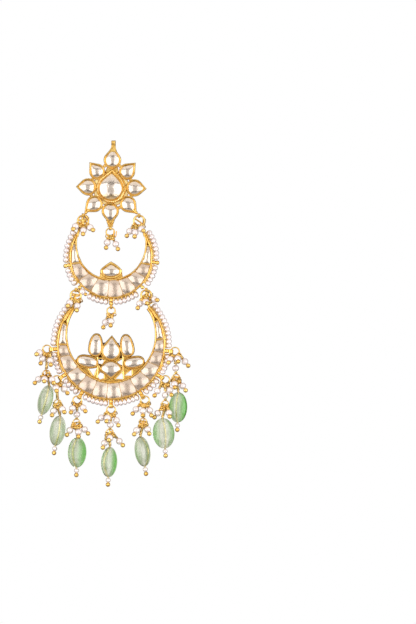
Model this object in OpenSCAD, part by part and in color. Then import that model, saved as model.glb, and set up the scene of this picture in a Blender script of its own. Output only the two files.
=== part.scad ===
// Two-tier crescent drop earring with a flower stud, in millimetres.
// The origin is on the flower's back plane, on the ear post's axis. The front faces -Y, +Z is up.

/* [Settings] */
// Height of the bezel rims above the back plane
setting_t = 2.0; // [1.9:0.05:2.1]
// Thickness of the closed back plate under the stones
plate_t = 0.8; // [0.6:0.1:1]
// Width of a bezel wall
wall = 0.45; // [0.4:0.05:0.5]
// Width of a gold ridge between two channel stones
ridge = 0.35; // [0.3:0.05:0.45]
// How far the ridges lie below the bezel rims
ridge_drop = 0.3; // [0.2:0.05:0.5]
// Clear gap between a stone and the metal round it
seat = 0.08; // [0.05:0.01:0.1]
// How far a stone's table stands above its bezel rim
stone_rise = 0.5; // [0.3:0.1:0.7]

/* [Flower stud] */
// Outer radius of the centre cup
cup_r = 4.65; // [4.5:0.05:4.7]
// Distance from the centre cup's centre to its point
cup_tip = 6.3; // [6:0.1:6.4]
// Height of the centre cup's rim above the back plane
cup_t = 2.7; // [2.4:0.1:3]
// Radius of the ear post
post_r = 0.45; // [0.4:0.05:0.5]
// Length of the ear post behind the back plane
post_l = 10.5; // [9:0.5:12]
// Height of the top loop's axis above the origin
top_loop_z = 13.9; // [13.8:0.1:14]

/* [Hinge rings] */
// Distance of the flower's side eyelets from the middle
stud_eye_x = 8.75; // [8.6:0.05:8.9]
// Height of the upper hinge axis
upper_hinge_z = -8.65; // [-8.8:0.05:-8.5]
// Distance of the upper crescent's side lugs from the middle
lug_eye_x = 11; // [10.8:0.1:11.2]
// Height of the lower hinge axis
lower_hinge_z = -31.9; // [-32:0.05:-31.8]
// Radius of the hinge rings, to the middle of their wire
hinge_ring_r = 1.65; // [1.6:0.05:1.7]
// Distance of all rings and loops in front of the back plane
ring_y = 1.5; // [1.45:0.05:1.55]
// Wire radius of the rings
ring_wire = 0.18; // [0.16:0.01:0.2]
// Outer radius of an eyelet
eye_r = 0.72; // [0.68:0.02:0.76]
// Radius of the hole in an eyelet
eye_hole_r = 0.42; // [0.4:0.01:0.44]
// Width of an eyelet along its hole
eye_w = 0.8; // [0.7:0.05:0.9]

/* [Crescents] */
// Height of the upper crescent's centre
upper_z = -21.6; // [-21.8:0.1:-21.4]
// Height of the lower crescent's centre
lower_z = -49.4; // [-49.6:0.1:-49.2]
// Distance of the seed pearls' thread outside a crescent's rim
strand_out = 1.1; // [1.05:0.05:1.2]
// Radius of a strand of seed pearls
strand_r = 0.9; // [0.8:0.05:0.92]
// Distance from a crescent's rim to the eyelets of its lugs
lug_out = 1.75; // [1.7:0.05:1.8]

/* [Pins and pearls] */
// Wire radius of a head pin's stem
pin_wire = 0.1; // [0.1:0.01:0.11]
// Wire radius of a head pin's loop
loop_wire = 0.12; // [0.12:0.01:0.13]
// Radius of a head pin's loop, to the middle of its wire
loop_r = 0.48; // [0.47:0.01:0.49]
// Radius of the coil that closes a head pin's loop
coil_r = 0.26; // [0.22:0.02:0.3]
// Radius of the gold ball that ends a head pin
ball_r = 0.6; // [0.55:0.05:0.65]
// Radius of a pearl
pearl_r = 1.1; // [1:0.05:1.12]
// Radius of the hole drilled through a pearl
pearl_bore = 0.25; // [0.22:0.01:0.3]

/* [Drops] */
// Radius of a drop's jump ring, to the middle of its wire
drop_ring_r = 1.35; // [1.3:0.05:1.4]
// Radius of a link's lower ring, to the middle of its wire
link_r = 1.1; // [1.08:0.01:1.12]
// Wire radius of a link's lower ring
link_wire = 0.15; // [0.14:0.01:0.16]
// Length of a green bead
bead_l = 9.5; // [9.2:0.1:9.7]
// Width of a green bead
bead_w = 6.8; // [6.4:0.1:7]
// Thickness of a green bead
bead_t = 4.6; // [4.4:0.1:4.8]
// Radius of the small pearl under a green bead
tail_r = 0.8; // [0.7:0.05:0.85]

/* [Hidden] */
$fn = 32;

// Radius of a pin's loop on a link's ring, whose wire is thinner
link_loop_r = loop_r - 0.02;
// Clear gap along a pin between a pearl and what is next to it
pin_gap = 0.1;
// Points on a cut stone's outline, and on a cup's
stone_n = 14;
cup_n = 40;
// Step in degrees along a crescent's rim
rim_step = 4;

// A petal cup: x and z of its centre, outer radius, distance and direction of its tip,
// the direction clockwise from straight up
PETALS = [
    [0.4, 8.7, 2.75, 4.3, 2],
    [4.95, 5.05, 2.55, 3.95, 44],
    [7.3, 0.0, 2.7, 3.8, 94],
    [5.25, -5.05, 2.6, 4.1, 137],
    [-0.25, -7.3, 2.7, 4.3, 180],
    [-5.2, -4.95, 2.6, 4.1, 230],
    [-7.2, 0.3, 2.7, 3.8, 271],
    [-4.35, 5.05, 2.5, 3.85, 321]];

// A crescent's outline: angle from straight down, inner radius and outer radius there
UPPER_RIM = [[0, 6.7, 13], [30, 7.05, 13], [60, 8.15, 13], [90, 9.8, 13],
    [115, 11.75, 13], [132, 13, 13]];
LOWER_RIM = [[0, 11.1, 16.85], [30, 11.2, 16.85], [60, 11.65, 16.85], [80, 12.65, 16.9],
    [100, 13.8, 17], [120, 15.2, 17.3], [140, 16.2, 17.5]];
// Where each horn ends
UPPER_TIP = 123;
LOWER_TIP = 136;
// Angles of the gold ridges, and of both ends of the channel
UPPER_RIDGES = [-110, -80, -54, -31, -5, 18, 39, 59, 79, 107];
LOWER_RIDGES = [-116, -92, -78, -58, -40, -22, -5, 12, 30, 49, 67, 83, 98, 119];
// Angles of the small gold balls and of the lugs on each rim
UPPER_STUDS = [-79, 83];
UPPER_STRANDS = [[-125, -83], [-75, -52], [-37, -4], [4, 36], [52, 79], [87, 125]];
LOWER_LUGS = [-87, -58, -32, 0, 32, 58, 85];

// A lotus cup: x and z of its centre, half width, half height, turn clockwise
LOTUS_OVALS = [
    [-4.75, -49.05, 2.2, 3.6, 5],
    [4.9, -49.2, 2.15, 3.55, -8],
    [-7.4, -54.2, 3.4, 2.0, 12],
    [7.15, -54.5, 3.3, 1.95, -10],
    [-0.1, -56.5, 3.45, 2.6, 0]];
// The lotus's pear cup: x and z of its centre, radius, distance and direction of its tip
LOTUS_PEAR = [0, -50.85, 3.0, 4.8, 3];
// The plate that joins the lotus to the crescent, and the openings cut through it
LOTUS_PLATE = [[-11.9, -54.2], [-10.2, -52.8], [-7.5, -52.5], [-4.9, -52.2], [-3.9, -50.6],
    [3.9, -50.6], [5, -52.4], [7.6, -53], [10, -53.8], [11.5, -55.1], [9.3, -58.2],
    [5, -60.9], [0, -61.6], [-5, -60.9], [-9.3, -58]];
LOTUS_GAPS = [
    [[-6.7, -56.6], [-4.7, -56.5], [-5.6, -58.5]],
    [[-3.9, -58.0], [-2.3, -59.0], [-3.1, -59.9], [-3.9, -59.2]],
    [[3.6, -57.9], [3.6, -59.7], [1.5, -59.5]],
    [[6.2, -57.1], [6.3, -58.5], [4.3, -58.4]],
    [[-2.3, -54.0], [-2.7, -54.7], [-3.9, -54.3], [-3.3, -53.7]],
    [[3.6, -53.9], [3.6, -55.3], [2.1, -54.3]]];
// The domed cup on the upper crescent: half width, height, and height of its base
DOME = [3.5, 5.1, -27.95];

// A jump ring: x and z of its centre, and its radius
STUD_RING = [-0.25, -13.85, 1.3];
UPPER_RINGS = [
    [-stud_eye_x, upper_hinge_z - hinge_ring_r, hinge_ring_r],
    [stud_eye_x, upper_hinge_z - hinge_ring_r, hinge_ring_r]];
MIDDLE_RING = [0, upper_z - 13 - lug_out - 0.8 - 1.25, 1.25];
LOWER_RINGS = [
    [-lug_eye_x, lower_hinge_z - hinge_ring_r, hinge_ring_r],
    [lug_eye_x, lower_hinge_z - hinge_ring_r, hinge_ring_r]];
// Where on its ring each horn hangs
UPPER_HANG = 28;
LOWER_HANG = 6;

// A head pin: place of its loop on the ring and lean of its stem, both from straight down,
// tilt to the front, and distance from its loop to its pearl
STUD_PINS = [[-24, -12, 8, 2.1], [26, 24, 5, 2.8]];
UPPER_LEFT_PINS = [[-64, -40, 50, 2.1], [8, -4, 48, 2.1], [44, 50, 45, 2.1]];
UPPER_RIGHT_PINS = [[-60, -32, 5, 2.9], [-32, -8, 38, 2.9], [-10, 48, 60, 2.9]];
MIDDLE_PINS = [[-34, -23, 5, 2.8], [14, -7, 40, 2.7]];
LOWER_LEFT_PINS = [[-48, -29, 49, 2.1], [24, -6, 35, 2.2]];
LOWER_RIGHT_PINS = [[-54, -24, 30, 2.1], [-30, 46, 70, 2.8], [52, 78, 55, 2.2]];

// A drop: x and z of its link's ring, reach of the pearl on its link (0 for none),
// x and z of its green bead, lean and turn of that bead, place of the bead's loop
DROPS = [
    [-20.2, -58.0, 0, -20.5, -66.2, -15, 100, 14],
    [-16.7, -67.2, 0, -16.7, -75.8, -9, 70, 0],
    [-10.8, -73.3, 3.05, -10.6, -82.6, -2, 45, -14],
    [-0.4, -76.4, 3.3, -0.6, -85.6, -3, 65, -8],
    [10.0, -73.0, 0, 9.8, -82.3, 9, 70, 0],
    [16.9, -67.5, 3.4, 16.4, -76.6, 5, 0, 0],
    [20.3, -59.2, 3.8, 20.9, -68.5, -2, -45, 0]];
// The head pins of each drop's jump ring, then those of each drop's link
RING_PINS = [
    [[-74, -60, 55, 2.1], [-34, -20, 25, 2.1], [34, 8, 40, 3.1]],
    [[-31, 18, 54, 2.3], [36, 40, 10, 2.3]],
    [[-42, -20, 40, 2.1], [42, 36, 40, 2.1]],
    [[-68, -43, 5, 2.6], [-34, -15, 50, 2.1], [36, 22, 5, 2.3]],
    [[-58, -38, 5, 2.7], [-28, 0, 35, 2.6], [36, 19, 10, 2.2]],
    [[-44, -32, 5, 2.9], [36, 18, 20, 2.3]],
    [[28, 12, 60, 2.1], [62, 38, 5, 3.1], [-36, -28, 48, 2.2]]];
LINK_PINS = [
    [[-68, -46, 20, 2.1], [-26, -3, 70, 2.2], [62, 31, 48, 2.4]],
    [[-42, -18, 36, 2.1], [44, 36, 50, 2.1]],
    [[-60, -32, 10, 2.2], [26, 4, 38, 2.5], [66, 42, 10, 2.3]],
    [[-50, -18, 28, 3.0], [28, -32, 67, 2.1], [68, 41, 5, 3.0]],
    [[-48, -32, 30, 2.6], [44, 22, 33, 2.1]],
    [[-46, -37, -14, 2.7], [44, 12, 47, 2.9]],
    [[-44, 10, 52, 2.1], [46, 34, 10, 2.3]]];

gold = "goldenrod";
foil_glass = "lightcyan";
pearl_white = "seashell";
leaf_green = "mediumseagreen";

function unit(v) = v / norm(v);
// A point at radius r from a centre, at an angle from straight down
function spot(c, r, a) = [c[0] + r * sin(a), c[1] - r * cos(a)];
// A smoothed value from a column of a rim table
function rim(table, col, a) = let (t = [for (row = table) [row[0], row[col]]], w = abs(a), s = 8)
    (lookup(abs(w - s), t) + 2 * lookup(w, t) + lookup(w + s, t)) / 4;
function rim_in(table, a) = rim(table, 1, a);
function rim_out(table, a) = rim(table, 2, a);

// Outline of a pear with its point at [0, tip], as n points
function pear(r, tip, n) = let (a = acos(r / tip))
    concat([[0, tip]], [for (i = [0:n - 2]) let (s = a + i * (360 - 2 * a) / (n - 2))
        [-r * sin(s), r * cos(s)]]);
// Outline of a full oval, a little squarer than an ellipse
function oval(rx, rz, n) = [for (i = [0:n - 1]) let (s = i * 360 / n, c = cos(s), q = sin(s))
    [rx * sign(c) * pow(abs(c), 0.85), rz * sign(q) * pow(abs(q), 0.85)]];
// Outline of a dome with a flat base and a soft point
function dome(rx, h, n) = [for (i = [0:n - 1]) let (s = i * 180 / (n - 1))
    [rx * sign(cos(s)) * pow(abs(cos(s)), 1.25), h * pow(sin(s), 1.25)]];
// Outline of a stretch of a crescent between two angles, k steps along it
function arc_cell(c, table, a0, a1, out, in, k) = concat(
    [for (i = [0:k]) let (a = a0 + i * (a1 - a0) / k) spot(c, rim_out(table, a) - out, a)],
    [for (i = [0:k]) let (a = a1 - i * (a1 - a0) / k) spot(c, rim_in(table, a) + in, a)]);
// One channel cell, kept clear of its ridges by half a ridge
function channel_cell(c, table, a0, a1, gap, k) =
    let (r = (rim_in(table, (a0 + a1) / 2) + rim_out(table, (a0 + a1) / 2)) / 2,
        trim = (ridge / 2 + gap) / r * 180 / PI)
    arc_cell(c, table, a0 + trim, a1 - trim, wall + gap, wall + gap, k);
function middle(points) = [for (i = [0:1]) let (v = [for (p = points) p[i]])
    (min(v) + max(v)) / 2];

// Upright slab of an outline drawn in the X-Z plane, from back to front
module slab(front, back = 0) {
    translate([0, -back, 0]) rotate([90, 0, 0]) linear_extrude(front - back) children();
}

module turned(x, z, clockwise) {
    translate([x, z]) rotate(-clockwise) children();
}

// A faceted solid on an outline, through levels of [depth in front of the back plane, size]
module facets(points, levels) {
    n = len(points);
    m = len(levels);
    polyhedron(
        points = [for (l = levels) for (p = points) [p[0] * l[1], -l[0], p[1] * l[1]]],
        faces = concat([[for (i = [0:n - 1]) i]], [[for (i = [n - 1:-1:0]) (m - 1) * n + i]],
            [for (k = [0:m - 2]) for (i = [0:n - 1]) let (j = (i + 1) % n)
                [k * n + i, (k + 1) * n + i, (k + 1) * n + j, k * n + j]]));
}

// A rose-cut stone: girdle, two rows of facets and a table
module cut_stone(points, rim_t) {
    floor_t = plate_t + seat;
    facets(points, [[floor_t, 0.96], [rim_t - 0.35, 1], [rim_t + 0.6 * stone_rise, 0.78],
        [rim_t + stone_rise, 0.42]]);
}

module torus(r, wire) {
    rotate_extrude() translate([r, 0]) circle(wire);
}

module jump_ring(g, wire = ring_wire) {
    translate([g[0], -ring_y, g[1]]) rotate([90, 0, 0]) torus(g[2], wire);
}

// A round bar in the plane of the rings
module bar(p, q, r) {
    lean = atan2(q[0] - p[0], q[1] - p[1]);
    translate([p[0], -ring_y, p[1]]) rotate([0, lean, 0]) cylinder(h = norm(q - p), r = r);
}

// An eyelet barrel in the plane of the rings; its hole lies at an angle from the X axis
module eyelet_at(p, a, r) {
    translate([p[0], -ring_y, p[1]]) rotate([0, -a, 0]) rotate([0, 90, 0])
        cylinder(h = eye_w + (r < eye_r ? 1 : 0), r = r, center = true);
}

// Flower stud

module petal_outline(p, inset, n) {
    k = (p[2] - inset) / p[2];
    turned(p[0], p[1], p[4]) polygon(pear(p[2] * k, p[3] * k, n));
}

function stem_top() = [[-0.9, 11.2], [1.8, 11.2], [1.45, 12.6], [1.45, top_loop_z],
    [0.05, top_loop_z], [0.05, 12.6]];
function stem_bottom() = [[-1.3, -10.2], [0.8, -10.2], [0.15, -12.4], [-0.65, -12.4]];

module flower_body() {
    n = len(PETALS);
    slab(setting_t) for (p = PETALS) petal_outline(p, 0, cup_n);
    slab(cup_t) turned(0.05, -0.15, 4) polygon(pear(cup_r, cup_tip, cup_n));
    slab(setting_t - 0.4) for (i = [0:n - 1]) let (a = PETALS[i], b = PETALS[(i + 1) % n])
        translate([(a[0] + b[0]) / 2, (a[1] + b[1]) / 2]) circle(0.55);
    slab(setting_t - 0.1, 0.4) polygon(stem_top());
    slab(setting_t - 0.1, 0.5) polygon(stem_bottom());
    translate([0.75, -1.15, top_loop_z]) rotate([0, 90, 0])
        cylinder(h = 1.4, r = 0.95, center = true);
    for (s = [-1, 1]) {
        bar([s * 6.9, -6.7], [s * stud_eye_x, upper_hinge_z], 0.44);
        eyelet_at([s * stud_eye_x, upper_hinge_z], 0, eye_r);
    }
    eyelet_at([STUD_RING[0], STUD_RING[1] + STUD_RING[2]], 0, eye_r);
}

module flower_setting() {
    color(gold) difference() {
        flower_body();
        slab(setting_t + 1, plate_t) for (p = PETALS) petal_outline(p, wall, cup_n);
        slab(cup_t + 1, plate_t) turned(0.05, -0.15, 4)
            polygon(pear(cup_r - 1.9 * wall, cup_tip - 2.6 * wall, cup_n));
        slab(cup_t + 1, cup_t - 0.35) turned(0.05, -0.15, 4) difference() {
            polygon(pear(cup_r - 0.7 * wall, cup_tip - wall, cup_n));
            polygon(pear(cup_r - 1.2 * wall, cup_tip - 1.7 * wall, cup_n));
        }
        translate([0.75, -1.15, top_loop_z]) rotate([0, 90, 0])
            cylinder(h = 3, r = 0.5, center = true);
        for (s = [-1, 1]) eyelet_at([s * stud_eye_x, upper_hinge_z], 0, eye_hole_r);
        eyelet_at([STUD_RING[0], STUD_RING[1] + STUD_RING[2]], 0, eye_hole_r);
    }
}

module ear_post() {
    color(gold) translate([0, post_l, 0]) rotate([90, 0, 0]) {
        cylinder(h = post_l - 0.05, r = post_r);
        translate([0, 0, post_l - 0.65]) cylinder(h = 0.6, r = 1.4);
    }
}

module centre_stone() {
    k = cup_r - 1.9 * wall - seat;
    color(foil_glass) translate([0.05, 0, -0.15]) rotate([0, 4, 0])
        cut_stone(pear(k, (cup_tip - 2.6 * wall) * k / (k + seat), 18), cup_t);
}

module petal_stone(i) {
    p = PETALS[i];
    k = (p[2] - wall - seat) / p[2];
    color(foil_glass) translate([p[0], 0, p[1]]) rotate([0, p[4], 0])
        cut_stone(pear(p[2] * k, p[3] * k, stone_n), setting_t);
}

// Head pins and their pearls

// Moves a pin drawn straight down from the origin to its place on a ring
module on_ring(g, place, lean, tilt) {
    d = [sin(lean) * cos(tilt), -sin(tilt), -cos(lean) * cos(tilt)];
    t = [cos(place), 0, sin(place)];
    n = unit(t - (t * d) * d);
    m = cross(-d, n);
    o = [g[0] + g[2] * sin(place), -ring_y, g[1] - g[2] * cos(place)];
    multmatrix([[n[0], m[0], -d[0], o[0]], [n[1], m[1], -d[1], o[1]],
        [n[2], m[2], -d[2], o[2]], [0, 0, 0, 1]]) children();
}

module pin_loop(r = loop_r) {
    rotate([0, 90, 0]) torus(r, loop_wire);
}

module stem(from, to, r = pin_wire) {
    translate([0, 0, -to]) cylinder(h = to - from, r = r);
}

module head_pin(reach, r) {
    tail = reach + pearl_r + pin_gap + ball_r;
    pin_loop(r);
    stem(r, tail);
    stem(loop_r + 0.06, reach - pearl_r - pin_gap, coil_r);
    translate([0, 0, -tail]) sphere(ball_r);
}

module pearl(reach, r = pearl_r) {
    translate([0, 0, -reach]) difference() {
        sphere(r);
        cylinder(h = 3 * r, r = pearl_bore, center = true);
    }
}

module head_pins(g, rows, r = loop_r) {
    for (p = rows) on_ring(g, p[0], p[1], p[2]) head_pin(p[3], r);
}

module pearls(g, rows) {
    for (p = rows) on_ring(g, p[0], p[1], p[2]) pearl(p[3]);
}

// Crescents

module rim_outline(c, table, tip) {
    polygon(arc_cell(c, table, -tip, tip, 0, 0, ceil(2 * tip / rim_step)));
}

module channel_pockets(c, table, ridges) {
    for (i = [0:len(ridges) - 2])
        polygon(channel_cell(c, table, ridges[i], ridges[i + 1], 0, 6));
}

// A gold ball station on the rim, or a lug with its eyelet bar
module station(c, r, a, out) {
    p = spot(c, r - 0.3, a);
    bar(p, spot(c, r + out, a), 0.42);
    for (k = [0.45, 1.5]) let (q = spot(c, r + k, a))
        translate([q[0], -ring_y + 0.1, q[1]]) sphere(0.62);
}

// The horn's end: a neck from the rim to its eyelet on a ring
module horn_neck(c, table, tip, s, g, hang) {
    a = s * tip;
    e = spot(g, g[2], s * hang);
    p = spot(c, rim_out(table, a) - 0.55, a - s * 2);
    slab(setting_t - 0.15, 0.6) {
        translate(p) circle(0.5);
        polygon([p + [0.45, 0.1], p - [0.45, 0.1], e - [0.34, 0], e + [0.34, 0]]);
    }
    eyelet_at(e, s * hang, eye_r);
}

module channel_stones(c, table, ridges) {
    for (i = [0:len(ridges) - 2]) {
        cell = channel_cell(c, table, ridges[i], ridges[i + 1], seat, 4);
        o = middle(cell);
        translate([o[0], 0, o[1]]) cut_stone([for (p = cell) p - o], setting_t - 0.15);
    }
}

// One stretch of a strand of seed pearls, as a tube swept round the rim
module strand_stretch(c, table, a0, a1) {
    k = max(2, ceil(abs(a1 - a0) / 9));
    sides = 8;
    rings = [for (i = [0:k]) let (a = a0 + i * (a1 - a0) / k,
        r = rim_out(table, a) + strand_out) for (j = [0:sides - 1]) let (b = j * 360 / sides,
        q = spot(c, r + strand_r * cos(b), a)) [q[0], -1 + strand_r * sin(b), q[1]]];
    polyhedron(points = rings,
        faces = concat([[for (j = [0:sides - 1]) j]],
            [[for (j = [sides - 1:-1:0]) k * sides + j]],
            [for (i = [0:k - 1]) for (j = [0:sides - 1]) let (n = (j + 1) % sides)
                [i * sides + j, (i + 1) * sides + j, (i + 1) * sides + n, i * sides + n]]));
}

// Upper crescent

UPPER_C = [0, upper_z];
LOWER_C = [0, lower_z];

module dome_outline(inset) {
    k = (DOME[0] - inset) / DOME[0];
    translate([0, DOME[2] + inset]) polygon(dome(DOME[0] * k, DOME[1] - 1.9 * inset, 21));
}

module upper_crescent() {
    side_lug = spot(UPPER_C, 12.6, 46);
    color(gold) difference() {
        union() {
            slab(setting_t) {
                rim_outline(UPPER_C, UPPER_RIM, UPPER_TIP);
                dome_outline(0);
            }
            for (a = UPPER_STUDS) station(UPPER_C, 13, a, 1.3);
            station(UPPER_C, 13, 0, lug_out + 0.6);
            eyelet_at([0, MIDDLE_RING[1] + MIDDLE_RING[2]], 0, eye_r);
            for (s = [-1, 1]) {
                bar([s * side_lug[0], side_lug[1]], [s * lug_eye_x, lower_hinge_z], 0.46);
                translate([s * 9.8, 0.1 - ring_y, -31.05]) sphere(0.62);
                eyelet_at([s * lug_eye_x, lower_hinge_z], 0, eye_r);
                horn_neck(UPPER_C, UPPER_RIM, UPPER_TIP, s, UPPER_RINGS[s > 0 ? 1 : 0],
                    UPPER_HANG);
            }
        }
        slab(setting_t + 1, setting_t - ridge_drop)
            polygon(arc_cell(UPPER_C, UPPER_RIM, UPPER_RIDGES[0], UPPER_RIDGES[9], wall, wall, 50));
        slab(setting_t + 1, plate_t) {
            channel_pockets(UPPER_C, UPPER_RIM, UPPER_RIDGES);
            dome_outline(wall);
        }
        eyelet_at([0, MIDDLE_RING[1] + MIDDLE_RING[2]], 0, eye_hole_r);
        for (s = [-1, 1]) {
            eyelet_at([s * lug_eye_x, lower_hinge_z], 0, eye_hole_r);
            eyelet_at(spot(UPPER_RINGS[s > 0 ? 1 : 0], hinge_ring_r, s * UPPER_HANG),
                s * UPPER_HANG, eye_hole_r);
        }
    }
}

module upper_channel_stones() {
    color(foil_glass) channel_stones(UPPER_C, UPPER_RIM, UPPER_RIDGES);
}

module dome_stone() {
    k = wall + seat;
    shape = dome(DOME[0] - k, DOME[1] - 1.9 * k, 13);
    o = [0, DOME[1] * 0.4];
    color(foil_glass) translate([0, 0, DOME[2] + k + o[1]])
        cut_stone([for (p = shape) p - o], setting_t);
}

module upper_pins() {
    color(gold) {
        head_pins(UPPER_RINGS[0], UPPER_LEFT_PINS);
        head_pins(UPPER_RINGS[1], UPPER_RIGHT_PINS);
    }
}

module upper_pearls() {
    color(pearl_white) {
        pearls(UPPER_RINGS[0], UPPER_LEFT_PINS);
        pearls(UPPER_RINGS[1], UPPER_RIGHT_PINS);
    }
}

module upper_strand() {
    color(pearl_white) for (s = UPPER_STRANDS) strand_stretch(UPPER_C, UPPER_RIM, s[0], s[1]);
}

// Lower crescent

module lotus_outline(i, inset, n) {
    if (i == 5) {
        k = (LOTUS_PEAR[2] - inset) / LOTUS_PEAR[2];
        turned(LOTUS_PEAR[0], LOTUS_PEAR[1], LOTUS_PEAR[4])
            polygon(pear(LOTUS_PEAR[2] * k, LOTUS_PEAR[3] * k, n));
    } else {
        o = LOTUS_OVALS[i];
        turned(o[0], o[1], o[4]) polygon(oval(o[2] - inset, o[3] - inset, n));
    }
}

module lower_crescent() {
    color(gold) difference() {
        union() {
            slab(setting_t) rim_outline(LOWER_C, LOWER_RIM, LOWER_TIP);
            slab(setting_t) for (i = [0:5]) lotus_outline(i, 0, cup_n);
            slab(1.3) polygon(LOTUS_PLATE);
            for (a = LOWER_LUGS) let (r = rim_out(LOWER_RIM, a)) {
                station(LOWER_C, r, a, lug_out);
                eyelet_at(spot(LOWER_C, r + lug_out, a), a, eye_r);
            }
            for (s = [-1, 1]) horn_neck(LOWER_C, LOWER_RIM, LOWER_TIP, s,
                LOWER_RINGS[s > 0 ? 1 : 0], LOWER_HANG);
        }
        slab(setting_t + 1, setting_t - ridge_drop)
            polygon(arc_cell(LOWER_C, LOWER_RIM, LOWER_RIDGES[0], LOWER_RIDGES[13], wall, wall, 60));
        slab(setting_t + 1, plate_t) {
            channel_pockets(LOWER_C, LOWER_RIM, LOWER_RIDGES);
            for (i = [0:5]) lotus_outline(i, wall, cup_n);
        }
        slab(setting_t + 1, -1) for (g = LOTUS_GAPS) polygon(g);
        for (a = LOWER_LUGS)
            eyelet_at(spot(LOWER_C, rim_out(LOWER_RIM, a) + lug_out, a), a, eye_hole_r);
        for (s = [-1, 1])
            eyelet_at(spot(LOWER_RINGS[s > 0 ? 1 : 0], hinge_ring_r, s * LOWER_HANG),
                s * LOWER_HANG, eye_hole_r);
    }
}

module lower_channel_stones() {
    color(foil_glass) channel_stones(LOWER_C, LOWER_RIM, LOWER_RIDGES);
}

module lotus_stone(i) {
    k = wall + seat;
    color(foil_glass) if (i == 5) {
        r = LOTUS_PEAR[2] - k;
        translate([LOTUS_PEAR[0], 0, LOTUS_PEAR[1]]) rotate([0, LOTUS_PEAR[4], 0])
            cut_stone(pear(r, LOTUS_PEAR[3] * r / LOTUS_PEAR[2], stone_n), setting_t);
    } else {
        o = LOTUS_OVALS[i];
        translate([o[0], 0, o[1]]) rotate([0, o[4], 0])
            cut_stone(oval(o[2] - k, o[3] - k, stone_n), setting_t);
    }
}

module lower_pins() {
    color(gold) {
        head_pins(LOWER_RINGS[0], LOWER_LEFT_PINS);
        head_pins(LOWER_RINGS[1], LOWER_RIGHT_PINS);
    }
}

module lower_pearls() {
    color(pearl_white) {
        pearls(LOWER_RINGS[0], LOWER_LEFT_PINS);
        pearls(LOWER_RINGS[1], LOWER_RIGHT_PINS);
    }
}

module lower_strand() {
    stops = concat([-138], LOWER_LUGS, [138]);
    color(pearl_white) for (i = [0:len(stops) - 2])
        strand_stretch(LOWER_C, LOWER_RIM, stops[i] + 3.5, stops[i + 1] - 3.5);
}

// Drops

function drop_ring(i) = let (a = LOWER_LUGS[i],
    p = spot(LOWER_C, rim_out(LOWER_RIM, a) + lug_out + drop_ring_r, a))
    [p[0], p[1], drop_ring_r];
function link_ring(i) = [DROPS[i][0], DROPS[i][1], link_r];
// Lean of a straight wire from a place on a ring to a point
function lean_to(g, place, p) = let (o = spot(g, g[2], place)) atan2(p[0] - o[0], o[1] - p[1]);
function span_to(g, place, p) = norm(p - spot(g, g[2], place));
// Top of a green bead's hole, a little above the bead
function bead_top(i) = let (b = DROPS[i], l = bead_l / 2 + 0.15)
    [b[3] - l * sin(b[5]), b[4] + l * cos(b[5])];

module at_bead(i) {
    translate([DROPS[i][3], -ring_y, DROPS[i][4]]) rotate([0, -DROPS[i][5], 0]) children();
}

module drop_wires(i) {
    g = drop_ring(i);
    l = link_ring(i);
    place = DROPS[i][7];
    top = bead_top(i);
    tail = bead_l / 2 + pin_gap + 2 * tail_r + pin_gap + ball_r;
    color(gold) {
        jump_ring(g);
        head_pins(g, RING_PINS[i]);
        head_pins(l, LINK_PINS[i], link_loop_r);
        on_ring(g, 0, lean_to(g, 0, [l[0], l[1]]), 0) {
            pin_loop();
            stem(loop_r, span_to(g, 0, [l[0], l[1]]) - link_r);
        }
        jump_ring(l, link_wire);
        on_ring(l, place, lean_to(l, place, top), 0) {
            pin_loop(link_loop_r);
            stem(link_loop_r, span_to(l, place, top));
            stem(loop_r + 0.06, span_to(l, place, top) - 0.2, coil_r);
        }
        at_bead(i) {
            translate([0, 0, bead_l / 2 + 0.15]) sphere(0.2);
            translate([0, 0, -tail]) cylinder(h = tail + bead_l / 2 + 0.15, r = pin_wire + 0.02);
            translate([0, 0, -tail]) sphere(ball_r);
        }
    }
}

module drop_pearls(i) {
    g = drop_ring(i);
    l = link_ring(i);
    color(pearl_white) {
        pearls(g, RING_PINS[i]);
        pearls(l, LINK_PINS[i]);
        if (DROPS[i][2] > 0)
            on_ring(g, 0, lean_to(g, 0, [l[0], l[1]]), 0) pearl(DROPS[i][2]);
        at_bead(i) pearl(bead_l / 2 + pin_gap + tail_r, tail_r);
    }
}

// A flattened oval bead, n points round and m steps from its flat top to its flat bottom
module oval_bead(n, m) {
    polyhedron(
        points = [for (k = [0:m]) let (b = 80 - 160 * k / m, h = bead_l / 2 / sin(80) * sin(b))
            for (j = [0:n - 1]) let (a = j * 360 / n)
            [bead_w / 2 * cos(b) * cos(a), bead_t / 2 * cos(b) * sin(a), h]],
        faces = concat([[for (j = [n - 1:-1:0]) j]], [[for (j = [0:n - 1]) m * n + j]],
            [for (k = [0:m - 1]) for (j = [0:n - 1]) let (i = (j + 1) % n)
                [k * n + j, k * n + i, (k + 1) * n + i, (k + 1) * n + j]]));
}

module green_bead(i) {
    color(leaf_green) at_bead(i) difference() {
        rotate([0, 0, DROPS[i][6]]) oval_bead(18, 10);
        cylinder(h = 2 * bead_l, r = 0.3, center = true);
    }
}

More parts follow.
